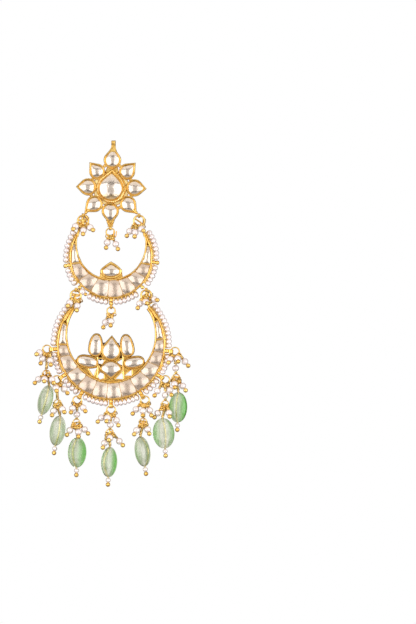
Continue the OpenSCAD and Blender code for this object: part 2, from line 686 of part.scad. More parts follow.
flower_setting();
ear_post();
centre_stone();
for (i = [0:7]) petal_stone(i);
color(gold) jump_ring(STUD_RING);  // stud_ring
color(gold) head_pins(STUD_RING, STUD_PINS);  // stud_pins
color(pearl_white) pearls(STUD_RING, STUD_PINS);  // stud_pearls
upper_crescent();
upper_channel_stones();
dome_stone();
color(gold) jump_ring(UPPER_RINGS[0]);  // upper_ring_left
color(gold) jump_ring(UPPER_RINGS[1]);  // upper_ring_right
upper_pins();
upper_pearls();
upper_strand();
color(gold) jump_ring(MIDDLE_RING);  // middle_ring
color(gold) head_pins(MIDDLE_RING, MIDDLE_PINS);  // middle_pins
color(pearl_white) pearls(MIDDLE_RING, MIDDLE_PINS);  // middle_pearls
lower_crescent();
lower_channel_stones();
for (i = [0:5]) lotus_stone(i);
color(gold) jump_ring(LOWER_RINGS[0]);  // lower_ring_left
color(gold) jump_ring(LOWER_RINGS[1]);  // lower_ring_right
lower_pins();
lower_pearls();
lower_strand();
for (i = [0:6]) drop_wires(i);
for (i = [0:6]) drop_pearls(i);
for (i = [0:6]) green_bead(i);
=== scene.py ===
# %% [markdown]
# # A long drop earring in gold, foil-backed stones, seed pearls and green beads
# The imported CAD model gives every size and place. This lesson dresses it: each
# plain solid gets hand-worked gold, domed stones, pearls or glass in its place.
# Lengths in the helpers are millimetres, because a jeweller works in them, and
# each mesh is turned into metres once, when it becomes an object.

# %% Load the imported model
import math
import random
from collections import namedtuple

import bmesh
import bpy
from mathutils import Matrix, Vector, noise


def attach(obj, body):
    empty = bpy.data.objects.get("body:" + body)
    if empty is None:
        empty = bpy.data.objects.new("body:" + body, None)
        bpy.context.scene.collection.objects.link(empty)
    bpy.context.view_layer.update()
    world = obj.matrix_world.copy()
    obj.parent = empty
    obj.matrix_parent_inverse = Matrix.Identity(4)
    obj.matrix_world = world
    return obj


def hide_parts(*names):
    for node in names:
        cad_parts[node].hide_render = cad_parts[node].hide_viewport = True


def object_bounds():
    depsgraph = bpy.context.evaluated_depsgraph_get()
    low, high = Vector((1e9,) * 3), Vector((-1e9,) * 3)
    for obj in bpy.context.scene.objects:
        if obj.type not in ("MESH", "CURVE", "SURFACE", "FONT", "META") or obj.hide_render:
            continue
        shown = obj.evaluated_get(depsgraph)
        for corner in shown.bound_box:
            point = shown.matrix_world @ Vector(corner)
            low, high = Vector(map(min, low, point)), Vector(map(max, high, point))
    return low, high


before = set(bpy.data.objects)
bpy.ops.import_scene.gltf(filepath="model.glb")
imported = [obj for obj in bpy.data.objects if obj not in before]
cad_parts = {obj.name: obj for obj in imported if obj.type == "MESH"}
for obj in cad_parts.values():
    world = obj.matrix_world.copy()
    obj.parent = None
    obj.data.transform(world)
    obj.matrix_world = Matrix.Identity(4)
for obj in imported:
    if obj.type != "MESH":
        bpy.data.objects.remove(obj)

MM = 0.001
noise.seed_set(7)  # small bends come from one fixed number, so every run makes the same earring
cad_box = [list(v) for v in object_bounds()]
print("CAD box in mm:", [[round(x / MM, 2) for x in v] for v in cad_box])


def put(name, data):
    o = bpy.data.objects.new(name, data)
    bpy.context.collection.objects.link(o)
    return o


def around(n):
    """The cosine and sine of n even steps round a circle."""
    return [(math.cos(k * math.tau / n), math.sin(k * math.tau / n)) for k in range(n)]


def compass(degrees):
    """The cosine and sine of one angle."""
    return math.cos(math.radians(degrees)), math.sin(math.radians(degrees))


def middle(points):
    """The middle of points on a plane."""
    return tuple(sum(p[k] for p in points) / len(points) for k in (0, 1))


def between(first, last, n):
    """n + 1 even values from first to last."""
    return [first + (last - first) * k / n for k in range(n + 1)]


# %% [markdown]
# ## The camera
# The photograph is taken from straight ahead with a long lens, so nothing looks
# nearer than anything else. A lens of nearly 280 mm, one and a half metres away,
# does the same. The piece hangs left of the middle of the frame, so the camera
# stands to the right of it and looks straight along +Y.

# %% Camera, 195 mm of height in the frame
DISTANCE, FRAME_HEIGHT, SENSOR = 1500, 195, 36
MIDDLE_X, MIDDLE_Z = 30.25, -38.75
eye = bpy.data.cameras.new("long_lens")
eye.sensor_width = SENSOR
eye.lens = SENSOR * DISTANCE / FRAME_HEIGHT
eye.clip_start, eye.clip_end = 0.05, 20
camera = put("long_lens", eye)
camera.location = (MIDDLE_X * MM, -DISTANCE * MM, MIDDLE_Z * MM)
camera.rotation_euler = (math.pi / 2, 0, 0)
bpy.context.scene.camera = camera
print("lens", round(eye.lens), "mm")

# %% [markdown]
# ## The light
# The domed stones tell how the studio stood: white on their left and right, with
# a grey band between, a dark patch low down and a thin dark arc above. So two
# white screens stand left and right with a gap for the camera. Below them the
# room is dark and then light again, and above them a dark gap parts them from a
# pale ceiling. The sheet behind is pure white to the eye and through glass. It
# lights the back of the piece, but the sides of the room are dim, which keeps the
# grey outlines round the pearls.

# %% Two tall screens
SCREEN_X, SCREEN_Y, SCREEN_Z = 0.55, -0.51, -0.10
SCREEN_WIDTH, SCREEN_HEIGHT, SCREEN_WATTS = 0.96, 0.74, 3.5
AIM = Vector((0, 0, -0.04))
for name, x in (("left_screen", -SCREEN_X), ("right_screen", SCREEN_X)):
    lamp = bpy.data.lights.new(name, "AREA")
    lamp.shape, lamp.energy = "RECTANGLE", SCREEN_WATTS
    lamp.size, lamp.size_y = SCREEN_WIDTH, SCREEN_HEIGHT
    screen = put(name, lamp)
    screen.location = (x, SCREEN_Y, SCREEN_Z)
    screen.rotation_euler = (AIM - Vector((x, SCREEN_Y, SCREEN_Z))).to_track_quat("-Z", "Y").to_euler()
    screen.visible_camera = False
    print(name, "at", x, "m")


# %% Three helpers for node trees
def tree_of(block):
    """The empty node tree of a material or a world."""
    block.use_nodes = True
    block.node_tree.nodes.clear()
    return block.node_tree


def add(tree, kind, sockets=(), **settings):
    """Adds a node, with its settings, and fills its sockets: from another node, or with a value."""
    node = tree.nodes.new(kind)
    for key, value in settings.items():
        setattr(node, key, value)
    for key, value in dict(sockets).items():
        if isinstance(value, bpy.types.NodeSocket):
            tree.links.new(value, node.inputs[key])
        else:
            node.inputs[key].default_value = value
    return node


def ramp(tree, value, *places):
    """A colour for each place along a value from 0 to 1, with even blends between."""
    node = add(tree, "ShaderNodeValToRGB", {"Fac": value})
    kept = node.color_ramp.elements
    for element, (place, colour) in zip(kept, (places[0], places[-1])):
        element.position, element.color = place, (*colour, 1)
    for place, colour in places[1:-1]:
        kept.new(place).color = (*colour, 1)
    return node.outputs["Color"]


# %% The room round the screens: its colour by height, its strength by depth
FLOOR_TINT, CEILING_TINT = (0.80, 0.71, 0.62), (1.35, 1.24, 1.13)
bpy.context.scene.world = bpy.data.worlds.new("studio")
wt = tree_of(bpy.context.scene.world)
way = add(wt, "ShaderNodeSeparateXYZ", {0: add(wt, "ShaderNodeTexCoord").outputs["Generated"]}).outputs
height, depth = (add(wt, "ShaderNodeMapRange", {"Value": way[axis], "From Min": -1.0}).outputs["Result"]
                 for axis in "ZY")
tint = ramp(wt, height, (0.0, FLOOR_TINT), (0.15, FLOOR_TINT), (0.215, (0.07, 0.06, 0.06)),
            (0.262, (0.09, 0.08, 0.08)), (0.300, (0.78, 0.71, 0.64)), (0.625, (0.94, 0.86, 0.79)),
            (0.64, (0.12, 0.10, 0.09)), (0.68, (0.14, 0.12, 0.10)), (0.70, CEILING_TINT), (1.0, CEILING_TINT))
strength = ramp(wt, depth, *((place, (v, v, v)) for place, v in (
    (0.37, 1.0), (0.46, 0.75), (0.60, 0.35), (0.68, 0.22), (0.80, 0.24), (0.88, 0.5), (0.96, 1.1), (1.0, 1.1))))
rays = add(wt, "ShaderNodeLightPath").outputs
seen = add(wt, "ShaderNodeMath", {0: rays["Is Camera Ray"], 1: rays["Is Transmission Ray"]}, operation="MAXIMUM")
room = add(wt, "ShaderNodeBackground", {"Color": tint, "Strength": strength})
sheet = add(wt, "ShaderNodeBackground", {"Color": (1, 1, 1, 1)})
both = add(wt, "ShaderNodeMixShader", {0: seen.outputs[0], 1: room.outputs[0], 2: sheet.outputs[0]})
add(wt, "ShaderNodeOutputWorld", {"Surface": both.outputs[0]})
bpy.context.scene.view_settings.view_transform = "Standard"
print("room:", len(wt.nodes), "nodes")

# %% [markdown]
# ## The floor
# The piece hangs in front of a white sweep. Only a plain white floor, below the
# frame, is needed for views from above.

# %% Floor
FLOOR_R, FLOOR_Z = 1.6, -0.16
sweep = bpy.data.meshes.new("floor")
sweep.from_pydata([(FLOOR_R * c, FLOOR_R * s, FLOOR_Z) for c, s in around(48)], [], [tuple(range(48))])
white = bpy.data.materials.new("white_sweep")
glow = add(tree_of(white), "ShaderNodeEmission", {"Color": (1, 1, 1, 1), "Strength": 1.0})
add(white.node_tree, "ShaderNodeOutputMaterial", {"Surface": glow.outputs[0]})
sweep.materials.append(white)
floor = put("floor", sweep)
floor.visible_diffuse = floor.visible_glossy = floor.visible_shadow = False
print("floor", 2 * FLOOR_R, "m wide")

# %% [markdown]
# ## Mottle, an effect that all four finishes share
# Nothing hand-made is even. One node group gives a soft, cloudy mask and a
# height at a chosen scale. Gold uses it for hammer marks, the stones for
# crinkled foil, the pearls for nacre and the beads for streaks in the glass
# and for broad pale streaks of painted reflection.

# %% The mottle group
MOTTLE = bpy.data.node_groups.new("mottle", "ShaderNodeTree")
for title, value in (("Scale", 900.0), ("Stretch", 1.0), ("Detail", 2.0), ("From", 0.35), ("To", 0.65)):
    MOTTLE.interface.new_socket(title, in_out="INPUT", socket_type="NodeSocketFloat").default_value = value
for title in ("Mask", "Height"):
    MOTTLE.interface.new_socket(title, in_out="OUTPUT", socket_type="NodeSocketFloat")
given = add(MOTTLE, "NodeGroupInput").outputs
where = add(MOTTLE, "ShaderNodeTexCoord").outputs["Object"]
stretch = add(MOTTLE, "ShaderNodeCombineXYZ", {"X": 1.0, "Y": 1.0, "Z": given["Stretch"]})
scaled = add(MOTTLE, "ShaderNodeVectorMath", {0: where, 1: stretch.outputs[0]}, operation="MULTIPLY")
cloud = add(MOTTLE, "ShaderNodeTexNoise", {"Vector": scaled.outputs[0], "Scale": given["Scale"],
                                           "Detail": given["Detail"]}).outputs["Fac"]
spread = add(MOTTLE, "ShaderNodeMapRange", {"Value": cloud, "From Min": given["From"], "From Max": given["To"]},
             interpolation_type="SMOOTHSTEP")
add(MOTTLE, "NodeGroupOutput", {"Mask": spread.outputs["Result"], "Height": cloud})


def mottle(t, scale, low, high, detail=2.0, stretch=1.0):
    """Places the group; its mask rises where the cloud goes from low to high."""
    return add(t, "ShaderNodeGroup", {"Scale": scale, "Stretch": stretch, "Detail": detail, "From": low, "To": high},
               node_tree=MOTTLE).outputs


def mix(t, mask, first, second):
    """Mixes two colours by a mask. Each may be a socket or an (r, g, b)."""
    first, second = ((*c, 1) if isinstance(c, tuple) else c for c in (first, second))
    return add(t, "ShaderNodeMix", {"Factor": mask, "A": first, "B": second}, data_type="RGBA").outputs["Result"]


def span(t, mask, low, high):
    """Turns a mask from 0 to 1 into a number from low to high."""
    return add(t, "ShaderNodeMapRange", {"Value": mask, "To Min": low, "To Max": high}).outputs["Result"]


def reckon(t, operation, *values, **settings):
    return add(t, "ShaderNodeMath", enumerate(values), operation=operation, **settings).outputs[0]


def note(t, name):
    """A number that the mesh keeps for each point, such as how much painted shade it has."""
    return add(t, "ShaderNodeAttribute", attribute_name=name).outputs["Fac"]


def bump(t, rise, amount, distance):
    return add(t, "ShaderNodeBump", {"Height": rise, "Strength": amount, "Distance": distance}).outputs["Normal"]


def finish(name, slot, build):
    """A material whose build function says what goes into the shader's sockets, and the slot it belongs to."""
    material = bpy.data.materials.new(name)
    t = tree_of(material)
    skin = add(t, "ShaderNodeBsdfPrincipled", build(t))
    add(t, "ShaderNodeOutputMaterial", {"Surface": skin.outputs[0]})
    print("finish:", name, "with", len(t.nodes), "nodes")
    return material, slot


# %% [markdown]
# ## Gold
# The setting is high-carat gold foil over a soldered frame. The mesh keeps three
# notes for each point: painted shade, orange-brown, in the grooves and recesses; a
# painted highlight, pale yellow, on the middle disc, stitches and wires; and a
# near-black tone, which is painted shade in the hollows, slits and wire tangles and
# round the lotus cups, and the colour of a few dark seams. So each colour falls in
# the right places on every piece, and fine mottle breaks the shine as tool marks do.

# %% The gold finish
def gold(t):
    marks, grain, pits = mottle(t, 750, 0.38, 0.66, 3), mottle(t, 4200, 0.3, 0.7), mottle(t, 1500, 0.60, 0.72, 1)
    warm = mix(t, marks["Mask"], (0.84, 0.61, 0.21), (0.72, 0.445, 0.105))
    pitted = mix(t, span(t, pits["Mask"], 0.0, 0.6), warm, (0.50, 0.22, 0.04))
    # Painted shade: grooves and recesses are darkened to orange-brown.
    with_painted_shade = mix(t, note(t, "deep"), pitted, (0.54, 0.27, 0.035))
    # Painted highlight: pale yellow on the middle disc, stitches and wires.
    with_painted_highlight = mix(t, note(t, "edge"), with_painted_shade, (0.96, 0.81, 0.42))
    hammered = reckon(t, "MULTIPLY_ADD", marks["Height"], 2.5, grain["Height"])
    # The near-black tone is painted shade in hollows, slits, wire tangles and round the lotus cups, and the colour of a
    # few dark seams.
    return {"Base Color": mix(t, note(t, "tone"), with_painted_highlight, (0.045, 0.016, 0.004)), "Metallic": 1.0,
            "Roughness": span(t, marks["Mask"], 0.12, 0.22), "Normal": bump(t, hammered, 0.45, 0.0001)}


GOLD = finish("hand_worked_gold", "gold", gold)

# %% [markdown]
# ## Foil-backed stones
# Each stone is a thin dome of clear glass over bright crinkled foil. The foil
# could be a second mesh under real glass, but light would have to find its way in
# and out of every stone. A foil layer with the smooth glass as a clear coat on
# top gives the same two shines. The mesh notes how near a point is to the girdle,
# and there the foil turns from silver-white to gold. The other note makes a stone
# creamier and duller, as the ones in the channels are.

# %% The stone finish
def foil(t):
    crinkle, waves, flakes = mottle(t, 2300, 0.36, 0.64, 3), mottle(t, 620, 0.3, 0.7), mottle(t, 420, 0.42, 0.60, 1)
    silver = mix(t, crinkle["Mask"], (0.66, 0.605, 0.55), (0.53, 0.47, 0.41))
    cream = mix(t, note(t, "tone"), silver, (0.505, 0.41, 0.335))
    lit = reckon(t, "MULTIPLY", note(t, "edge"), span(t, flakes["Mask"], 0.45, 1.0), use_clamp=True)
    creased = reckon(t, "MULTIPLY_ADD", waves["Height"], 5.0, crinkle["Height"])
    return {"Base Color": mix(t, lit, cream, (0.74, 0.53, 0.24)), "Metallic": 0.82,
            "Roughness": reckon(t, "MULTIPLY_ADD", note(t, "tone"), 0.16, span(t, crinkle["Mask"], 0.08, 0.18)),
            "Normal": bump(t, creased, 0.40, 0.00005), "Coat Weight": 1.0, "Coat Roughness": 0.03, "Coat IOR": 1.52}


STONE = finish("foil_backed_glass", "foiled_glass", foil)

# %% [markdown]
# ## Pearl
# Nacre is pale, slightly uneven in colour and covered by a soft shine. Small
# pearls on one string differ, so each pearl carries a tone of its own, from
# white to pinkish grey. Its drilled ends are darker, painted shade where the holes would be.

# %% The pearl finish
def nacre(t):
    swirl = mottle(t, 650, 0.35, 0.65)
    pinkish = mix(t, note(t, "tone"), (0.81, 0.77, 0.80), (0.73, 0.68, 0.70))
    pale = mix(t, span(t, swirl["Mask"], 0.0, 0.6), pinkish, (0.85, 0.81, 0.79))
    # The drilled ends are darker: painted shade where the holes would be.
    return {"Base Color": mix(t, note(t, "deep"), pale, (0.30, 0.20, 0.14)), "Metallic": 0.35,
            "Roughness": span(t, swirl["Mask"], 0.16, 0.26), "Normal": bump(t, swirl["Height"], 0.06, 0.00003),
            "Coat Weight": 1.0, "Coat Roughness": 0.05, "Coat IOR": 1.6, "Coat Tint": (0.97, 0.95, 0.96, 1)}


PEARL = finish("nacre", "pearl", nacre)

# %% [markdown]
# ## Green glass
# The beads are milky green glass: part of the light goes through, part of it is
# caught inside. Fine streaks run along each bead from the way it was drawn, and a
# few broad pale streaks along it are a painted reflection. A brighter green towards
# a bead's sides is painted light. The inside bends the light only a little, so that
# the gold line through the bead stays one line, and a clear coat gives the polish of glass.

# %% The green finish
def milky_glass(t):
    streak = mottle(t, 1000, 0.44, 0.58, stretch=0.1)
    # Broad pale streaks along the bead: a painted reflection.
    reflection_streaks = mottle(t, 620, 0.52, 0.68, 1, 0.07)
    haze = mottle(t, 260, 0.35, 0.7, 1, 0.5)
    milky = mix(t, streak["Mask"], (0.40, 0.445, 0.325), (0.685, 0.68, 0.595))
    with_painted_reflection = mix(t, span(t, reflection_streaks["Mask"], 0.0, 0.75), milky, (0.86, 0.87, 0.80))
    hazy = mix(t, span(t, haze["Mask"], 0.0, 0.35), with_painted_reflection, (0.36, 0.52, 0.26))
    # A brighter green towards the sides of each bead: painted light.
    return {"Base Color": mix(t, note(t, "edge"), hazy, (0.17, 0.59, 0.10)), "IOR": 1.18,
            "Transmission Weight": 0.74, "Coat Weight": 0.8, "Coat Roughness": 0.02, "Coat IOR": 1.5,
            "Roughness": span(t, streak["Mask"], 0.0, 0.03), "Normal": bump(t, streak["Height"], 0.02, 0.00001)}


GREEN = finish("milky_green_glass", "green_glass", milky_glass)

# %% [markdown]
# ## A heap of small forms
# The earring is hundreds of wires, balls and pearls. Each form is a row of rings
# of points with faces between them, which makes tubes, beads, cups and domes
# alike. A heap collects many forms and becomes one mesh, which is far quicker
# than hundreds of objects.

# %% The heap
made = []


class Heap:
    """Points in millimetres and faces, with three notes for each point."""

    def __init__(self):
        self.points, self.faces, self.notes = [], [], {"deep": [], "tone": [], "edge": []}

    def loft(self, rings, loop=False, **notes):
        """Rows of points with faces between and a cap at each end, or none where the rows close in a loop.
        A note is one number, or one for each row."""
        base, n, m = len(self.points), len(rings[0]), len(rings)
        for ring in rings:
            self.points += [tuple(p) for p in ring]
        for key, kept in self.notes.items():
            value = notes.get(key, 0.0)
            for k in range(m):
                kept += [value[k] if isinstance(value, (list, tuple)) else value] * n
        for k in range(m if loop else m - 1):
            a, b = base + k * n, base + (k + 1) % m * n
            self.faces += [(a + i, a + (i + 1) % n, b + (i + 1) % n, b + i) for i in range(n)]
        if not loop:
            self.faces += [tuple(range(a, a + n)) for a in (base, base + (m - 1) * n)]

    def wobble(self, amount, size):
        """Moves every point a little, as a hand does."""
        self.points = [tuple(Vector(p) + noise.noise_vector(Vector(p) / size) * amount) for p in self.points]

    def become(self, name, finish_and_slot, body, node):
        """Turns the heap into one object, which takes the place of one node of the CAD model."""
        material, slot = finish_and_slot
        mesh = bpy.data.meshes.new(name)
        mesh.from_pydata([[x * MM for x in p] for p in self.points], [], self.faces)
        for key, kept in self.notes.items():
            if any(kept):
                mesh.attributes.new(key, "FLOAT", "POINT").data.foreach_set("value", kept)
        b = bmesh.new()
        b.from_mesh(mesh)
        bmesh.ops.recalc_face_normals(b, faces=b.faces)
        b.to_mesh(mesh)
        b.free()
        mesh.shade_smooth()
        mesh.set_sharp_from_angle(angle=math.radians(40))
        mesh.materials.append(material)
        o = put(name, mesh)
        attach(o, body)
        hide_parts(node)
        made.append((name, sum(len(f) - 2 for f in self.faces)))


def tell(count):
    """Prints the last pieces and their triangles."""
    print("made", ", ".join(f"{name} ({n})" for name, n in made[-count:]))


# %% [markdown]
# ## Tubes, balls and rings
# A tube follows a path and carries its cross-section along without twisting. A
# ball is a tube whose radius grows and shrinks. An eyelet is a ring with a
# rounded, flat cross-section.

# %% Tube, ball and eyelet
def square_to(axis):
    """A unit vector along the axis, and two at right angles to it."""
    axis = Vector(axis).normalized()
    side = axis.orthogonal().normalized()
    return axis, side, axis.cross(side)


def ring_at(centre, side, up, r, n):
    return [centre + (side * c + up * s) * r for c, s in around(n)]


def tube(heap, points, r, sides=8, loop=False, side=None, **notes):
    """A wire along a path; r is one radius, or one for each point."""
    path, n, rings = [Vector(p) for p in points], len(points), []
    for i, p in enumerate(path):
        before, after = (i - 1, (i + 1) % n) if loop else (max(i - 1, 0), min(i + 1, n - 1))
        along = (path[after] - path[before]).normalized()
        side = Vector(side) if side is not None else along.orthogonal()
        side = (side - along * side.dot(along)).normalized()
        rings.append(ring_at(p, side, along.cross(side), r[i] if isinstance(r, (list, tuple)) else r, sides))
    heap.loft(rings, loop=loop, **notes)


def ball(heap, centre, r, axis=(0, 0, 1), squash=1.0, round_n=20, high_n=12, drilled=False, deep=0.0, **notes):
    axis, side, up = square_to(axis)
    rings = [ring_at(Vector(centre) + axis * (r * squash * math.sin(b)), side, up, r * math.cos(b), round_n)
             for b in map(math.radians, between(-82, 82, high_n))]
    # Drilled ends get painted shade.
    heap.loft(rings, deep=[1.0 if drilled and k in (0, high_n) else deep for k in range(high_n + 1)], **notes)


def hoop(heap, centre, axis, inner, outer, width, n=20, **notes):
    """A flat-sided ring with soft edges, such as an eyelet."""
    axis, side, up = square_to(axis)
    e, w = min(0.12, (outer - inner) / 3), width / 2
    shape = ((inner, e - w), (inner, w - e), (inner + e, w), (outer - e, w),
             (outer, w - e), (outer, e - w), (outer - e, -w), (inner + e, -w))
    heap.loft([[Vector(centre) + (side * c + up * s) * q + axis * h for q, h in shape] for c, s in around(n)],
              loop=True, **notes)


# %% [markdown]
# ## The outlines
# The CAD source drew every cup from a few outlines: a pear, an oval and a stretch
# of a crescent. The same formulas here, with the same numbers, put the gold and
# the stones exactly where the solids are. A point of an outline is (x, z), and an
# angle round a crescent or a ring counts from straight down.

# %% Outlines, the same as in the CAD source
def spot(c, r, a):
    """The point at radius r and angle a round c."""
    down, right = compass(a)
    return c[0] + r * right, c[1] - r * down


def at_depth(outline, y):
    return [(x, y, z) for x, z in outline]


def disc(x, z, r, n):
    return [(x + r * c, z + r * s) for c, s in around(n)]


def pear(r, tip, n):
    a = math.degrees(math.acos(r / tip))
    turns = [math.radians(a + i * (360 - 2 * a) / (n - 2)) for i in range(n - 1)]
    return [(0.0, tip)] + [(-r * math.sin(s), r * math.cos(s)) for s in turns]


def oval(rx, rz, n):
    return [tuple(r * math.copysign(abs(v) ** 0.85, v) for r, v in ((rx, c), (rz, s))) for c, s in around(n)]


def turned(points, x, z, clockwise):
    c, s = compass(clockwise)
    return [(x + px * c + pz * s, z - px * s + pz * c) for px, pz in points]


def rim(tray, column, a):
    """The inner (1) or outer (2) radius of a crescent at an angle, smoothed between its rows."""
    rows = [(row[0], row[column]) for row in tray.rows]

    def at(w):
        w = min(max(w, rows[0][0]), rows[-1][0])
        for (a0, v0), (a1, v1) in zip(rows, rows[1:]):
            if w <= a1:
                return v0 + (v1 - v0) * (w - a0) / (a1 - a0)
    return (at(abs(abs(a) - 8)) + 2 * at(abs(a)) + at(abs(a) + 8)) / 4


def at_rim(tray, column, a, out):
    return spot(tray.centre, rim(tray, column, a) + out, a)


def cell(tray, a0, a1, out_gap, in_gap, k):
    """The outline of a stretch of a crescent, a gap inside both of its rims."""
    angles = between(a0, a1, k)
    return [at_rim(tray, 2, a, -out_gap) for a in angles] + [at_rim(tray, 1, a, in_gap) for a in reversed(angles)]


def arc(tray, column, out, a0, a1, y):
    """Points along a rim, or beside it."""
    n = max(2, math.ceil(abs(a1 - a0) / ARC_STEP))
    return at_depth([at_rim(tray, column, a, out) for a in between(a0, a1, n)], y)


ARC_STEP, SETTING, CUP = 2.5, 2.0, 2.7
PETALS = [(0.4, 8.7, 2.75, 4.3, 2), (4.95, 5.05, 2.55, 3.95, 44), (7.3, 0.0, 2.7, 3.8, 94),
          (5.25, -5.05, 2.6, 4.1, 137), (-0.25, -7.3, 2.7, 4.3, 180), (-5.2, -4.95, 2.6, 4.1, 230),
          (-7.2, 0.3, 2.7, 3.8, 271), (-4.35, 5.05, 2.5, 3.85, 321)]
LOWER_LUGS, LUG_OUT, LUG_GAP, STRAND_END = (-87, -58, -32, 0, 32, 58, 85), 1.75, 3.5, 138
held_at = (-STRAND_END, *LOWER_LUGS, STRAND_END)
# A row is an angle with the inner and outer radius there. The ridges part the stones, and the strands are
# the stretches of seed pearls.
Tray = namedtuple("Tray", "centre rows tip ridges strands")
UPPER = Tray((0, -21.6), [(0, 6.7, 13), (30, 7.05, 13), (60, 8.15, 13), (90, 9.8, 13), (115, 11.75, 13), (132, 13, 13)],
             123, [-110, -80, -54, -31, -5, 18, 39, 59, 79, 107],
             [(-125, -83), (-75, -52), (-31, -4), (4, 36), (52, 79), (87, 125)])
LOWER = Tray((0, -49.4), [(0, 11.1, 16.85), (30, 11.2, 16.85), (60, 11.65, 16.85), (80, 12.65, 16.9), (100, 13.8, 17),
                          (120, 15.2, 17.3), (140, 16.2, 17.5)],
             136, [-116, -92, -78, -58, -40, -22, -5, 12, 30, 49, 67, 83, 98, 119],
             [(a + LUG_GAP, b - LUG_GAP) for a, b in zip(held_at, held_at[1:])])
print("petals:", len(PETALS), "channel stones:", len(UPPER.ridges) - 1, "and", len(LOWER.ridges) - 1)

# %% [markdown]
# ## A cup of gold
# A setting is a wall of gold foil pressed round its stone and burnished down over
# the edge, so the rim is a rounded, ridged bead, not a sharp corner. Lofting the
# outline through a few insets and heights makes the wall, the bead, and the lip
# that slopes in to the stone. The middle of the flower has two such beads side by
# side. Each row of a profile is an inset, a height and how much painted shade the
# gold has there.

# %% Cup, stone and plate
# The third number of each row is painted shade, darkest on the outer wall and on the lip down to the stone.
BEAD = ((0.10, 0.0, 0.5), (0.0, 0.14, 0.4), (0.0, -0.62, 0.6), (0.06, -0.54, 0.8), (0.0, -0.46, 0.8),
        (0.03, -0.26, 0.5), (0.10, -0.08, 0.0), (0.23, 0.0, 0.0), (0.36, -0.08, 0.0), (0.43, -0.24, 0.4),
        (0.46, -0.36, 0.9), (0.60, -0.42, 0.9), (0.95, -0.46, 0.7))
DOUBLE_BEAD = BEAD[:5] + ((0.02, -0.30, 0.8), (0.07, -0.10, 0.0), (0.16, 0.0, 0.0), (0.25, -0.10, 0.0),
                          (0.31, -0.32, 0.3), (0.35, -0.46, 0.1), (0.62, -0.46, 0.1), (0.66, -0.32, 0.3),
                          (0.71, -0.08, 0.0), (0.80, 0.04, 0.0), (0.89, -0.08, 0.0), (0.94, -0.28, 0.8),
                          (0.98, -0.40, 1.0), (1.3, -0.5, 0.8))
DOME_STEPS = (1.0, 0.985, 0.95, 0.90, 0.84, 0.77, 0.69, 0.60, 0.50, 0.39, 0.27, 0.14, 0.03)
GIRDLE_DEPTH, STONE_FOOT, OVAL_FROM = 0.45, 0.9, 0.36


def widened(profile, by, darker=0.0):
    return [(inset * by, high, dark + darker) for inset, high, dark in profile]


def cup(heap, outline_at, front, profile=BEAD):
    """outline_at(inset) gives the outline; the first two heights count from the back, the others from the front."""
    heap.loft([at_depth(outline_at(inset), -(high if k < 2 else front + high))
               for k, (inset, high, _) in enumerate(profile)], deep=[dark for _, _, dark in profile])


def softened(points, times):
    """A closed line with its corners smoothed."""
    for _ in range(times):
        threes = zip(points[-1:] + points[:-1], points, points[1:] + points[:1])
        points = [tuple((a + 2 * b + c) / 4 for a, b, c in zip(*three)) for three in threes]
    return points


def evenly(points, n):
    """The same closed outline with n points at even steps."""
    closed = points + points[:1]
    walked = [0.0]
    for p, q in zip(closed, closed[1:]):
        walked.append(walked[-1] + math.dist(p, q))
    found, k = [], 0
    for i in range(n):
        goal = walked[-1] * i / n
        while walked[k + 1] < goal:
            k += 1
        f = (goal - walked[k]) / max(1e-9, walked[k + 1] - walked[k])
        found.append(tuple(p + (q - p) * f for p, q in zip(closed[k], closed[k + 1])))
    return found


def clamped(v):
    return max(0.0, min(1.0, v))


def stone(heap, outline, front, rise, tone=0.0, n=44, gold=1.0, foot_at=0.74, turn=0.0, flat=1.0):
    """A smooth dome on an outline: an even oval above, its own shape only near the girdle, below the gold.
    A stone with flat below 1 curves less along the direction at right angles to its turn, like a barrel."""
    points, waves = evenly(outline, n), around(n)
    cx, cz = middle(points)
    swing = [[2 / n * sum(p[k] * w[j] for p, w in zip(points, waves)) for j in (0, 1)] for k in (0, 1)]
    round_one = [[q[0] * c + q[1] * s for q in swing] for c, s in waves]
    reach = sum(math.dist(p, (cx, cz)) for p in points) / n
    high = rise + GIRDLE_DEPTH
    radius = (reach * reach + high * high) / (2 * high)
    ux, uz = compass(turn)
    reach_u = max(abs((x - cx) * ux + (z - cz) * uz) for x, z in points)
    reach_v = max(abs((z - cz) * ux - (x - cx) * uz) for x, z in points)
    rings, base = [at_depth(points, -(front - STONE_FOOT))], len(heap.points)
    for s in DOME_STEPS:
        w = min(1.0, (1 - s) / OVAL_FROM)
        w = w * w * (3 - 2 * w)
        rings.append([])
        for p, q in zip(points, round_one):
            x, z = (c + s * ((1 - w) * (u - c) + w * v) for c, u, v in zip((cx, cz), p, q))
            far = s if flat == 1 else min(1.0, math.hypot(((x - cx) * ux + (z - cz) * uz) / reach_u,
                                                          flat * ((z - cz) * ux - (x - cx) * uz) / reach_v))
            y = front - GIRDLE_DEPTH + math.sqrt(max(0.0, radius ** 2 - (far * reach) ** 2)) - (radius - high)
            rings[-1].append((x, -y, z))
    heap.loft(rings, tone=tone)
    high_z, low_z = max(p[1] for p in points) - cz, cz - min(p[1] for p in points)
    for k, (x, _, z) in enumerate(heap.points[base:]):
        up = (z - cz) / (high_z if z > cz else low_z)
        out = math.dist((x, z), (cx, cz)) / max(0.1, math.dist(points[k % n], (cx, cz)))
        near_rim, foot = clamped((out - 0.8) / 0.16), clamped((-up - foot_at) / 0.14)
        heap.notes["edge"][base + k] = gold * max(near_rim * (0.2 + 0.8 * up * up), 0.85 * foot)


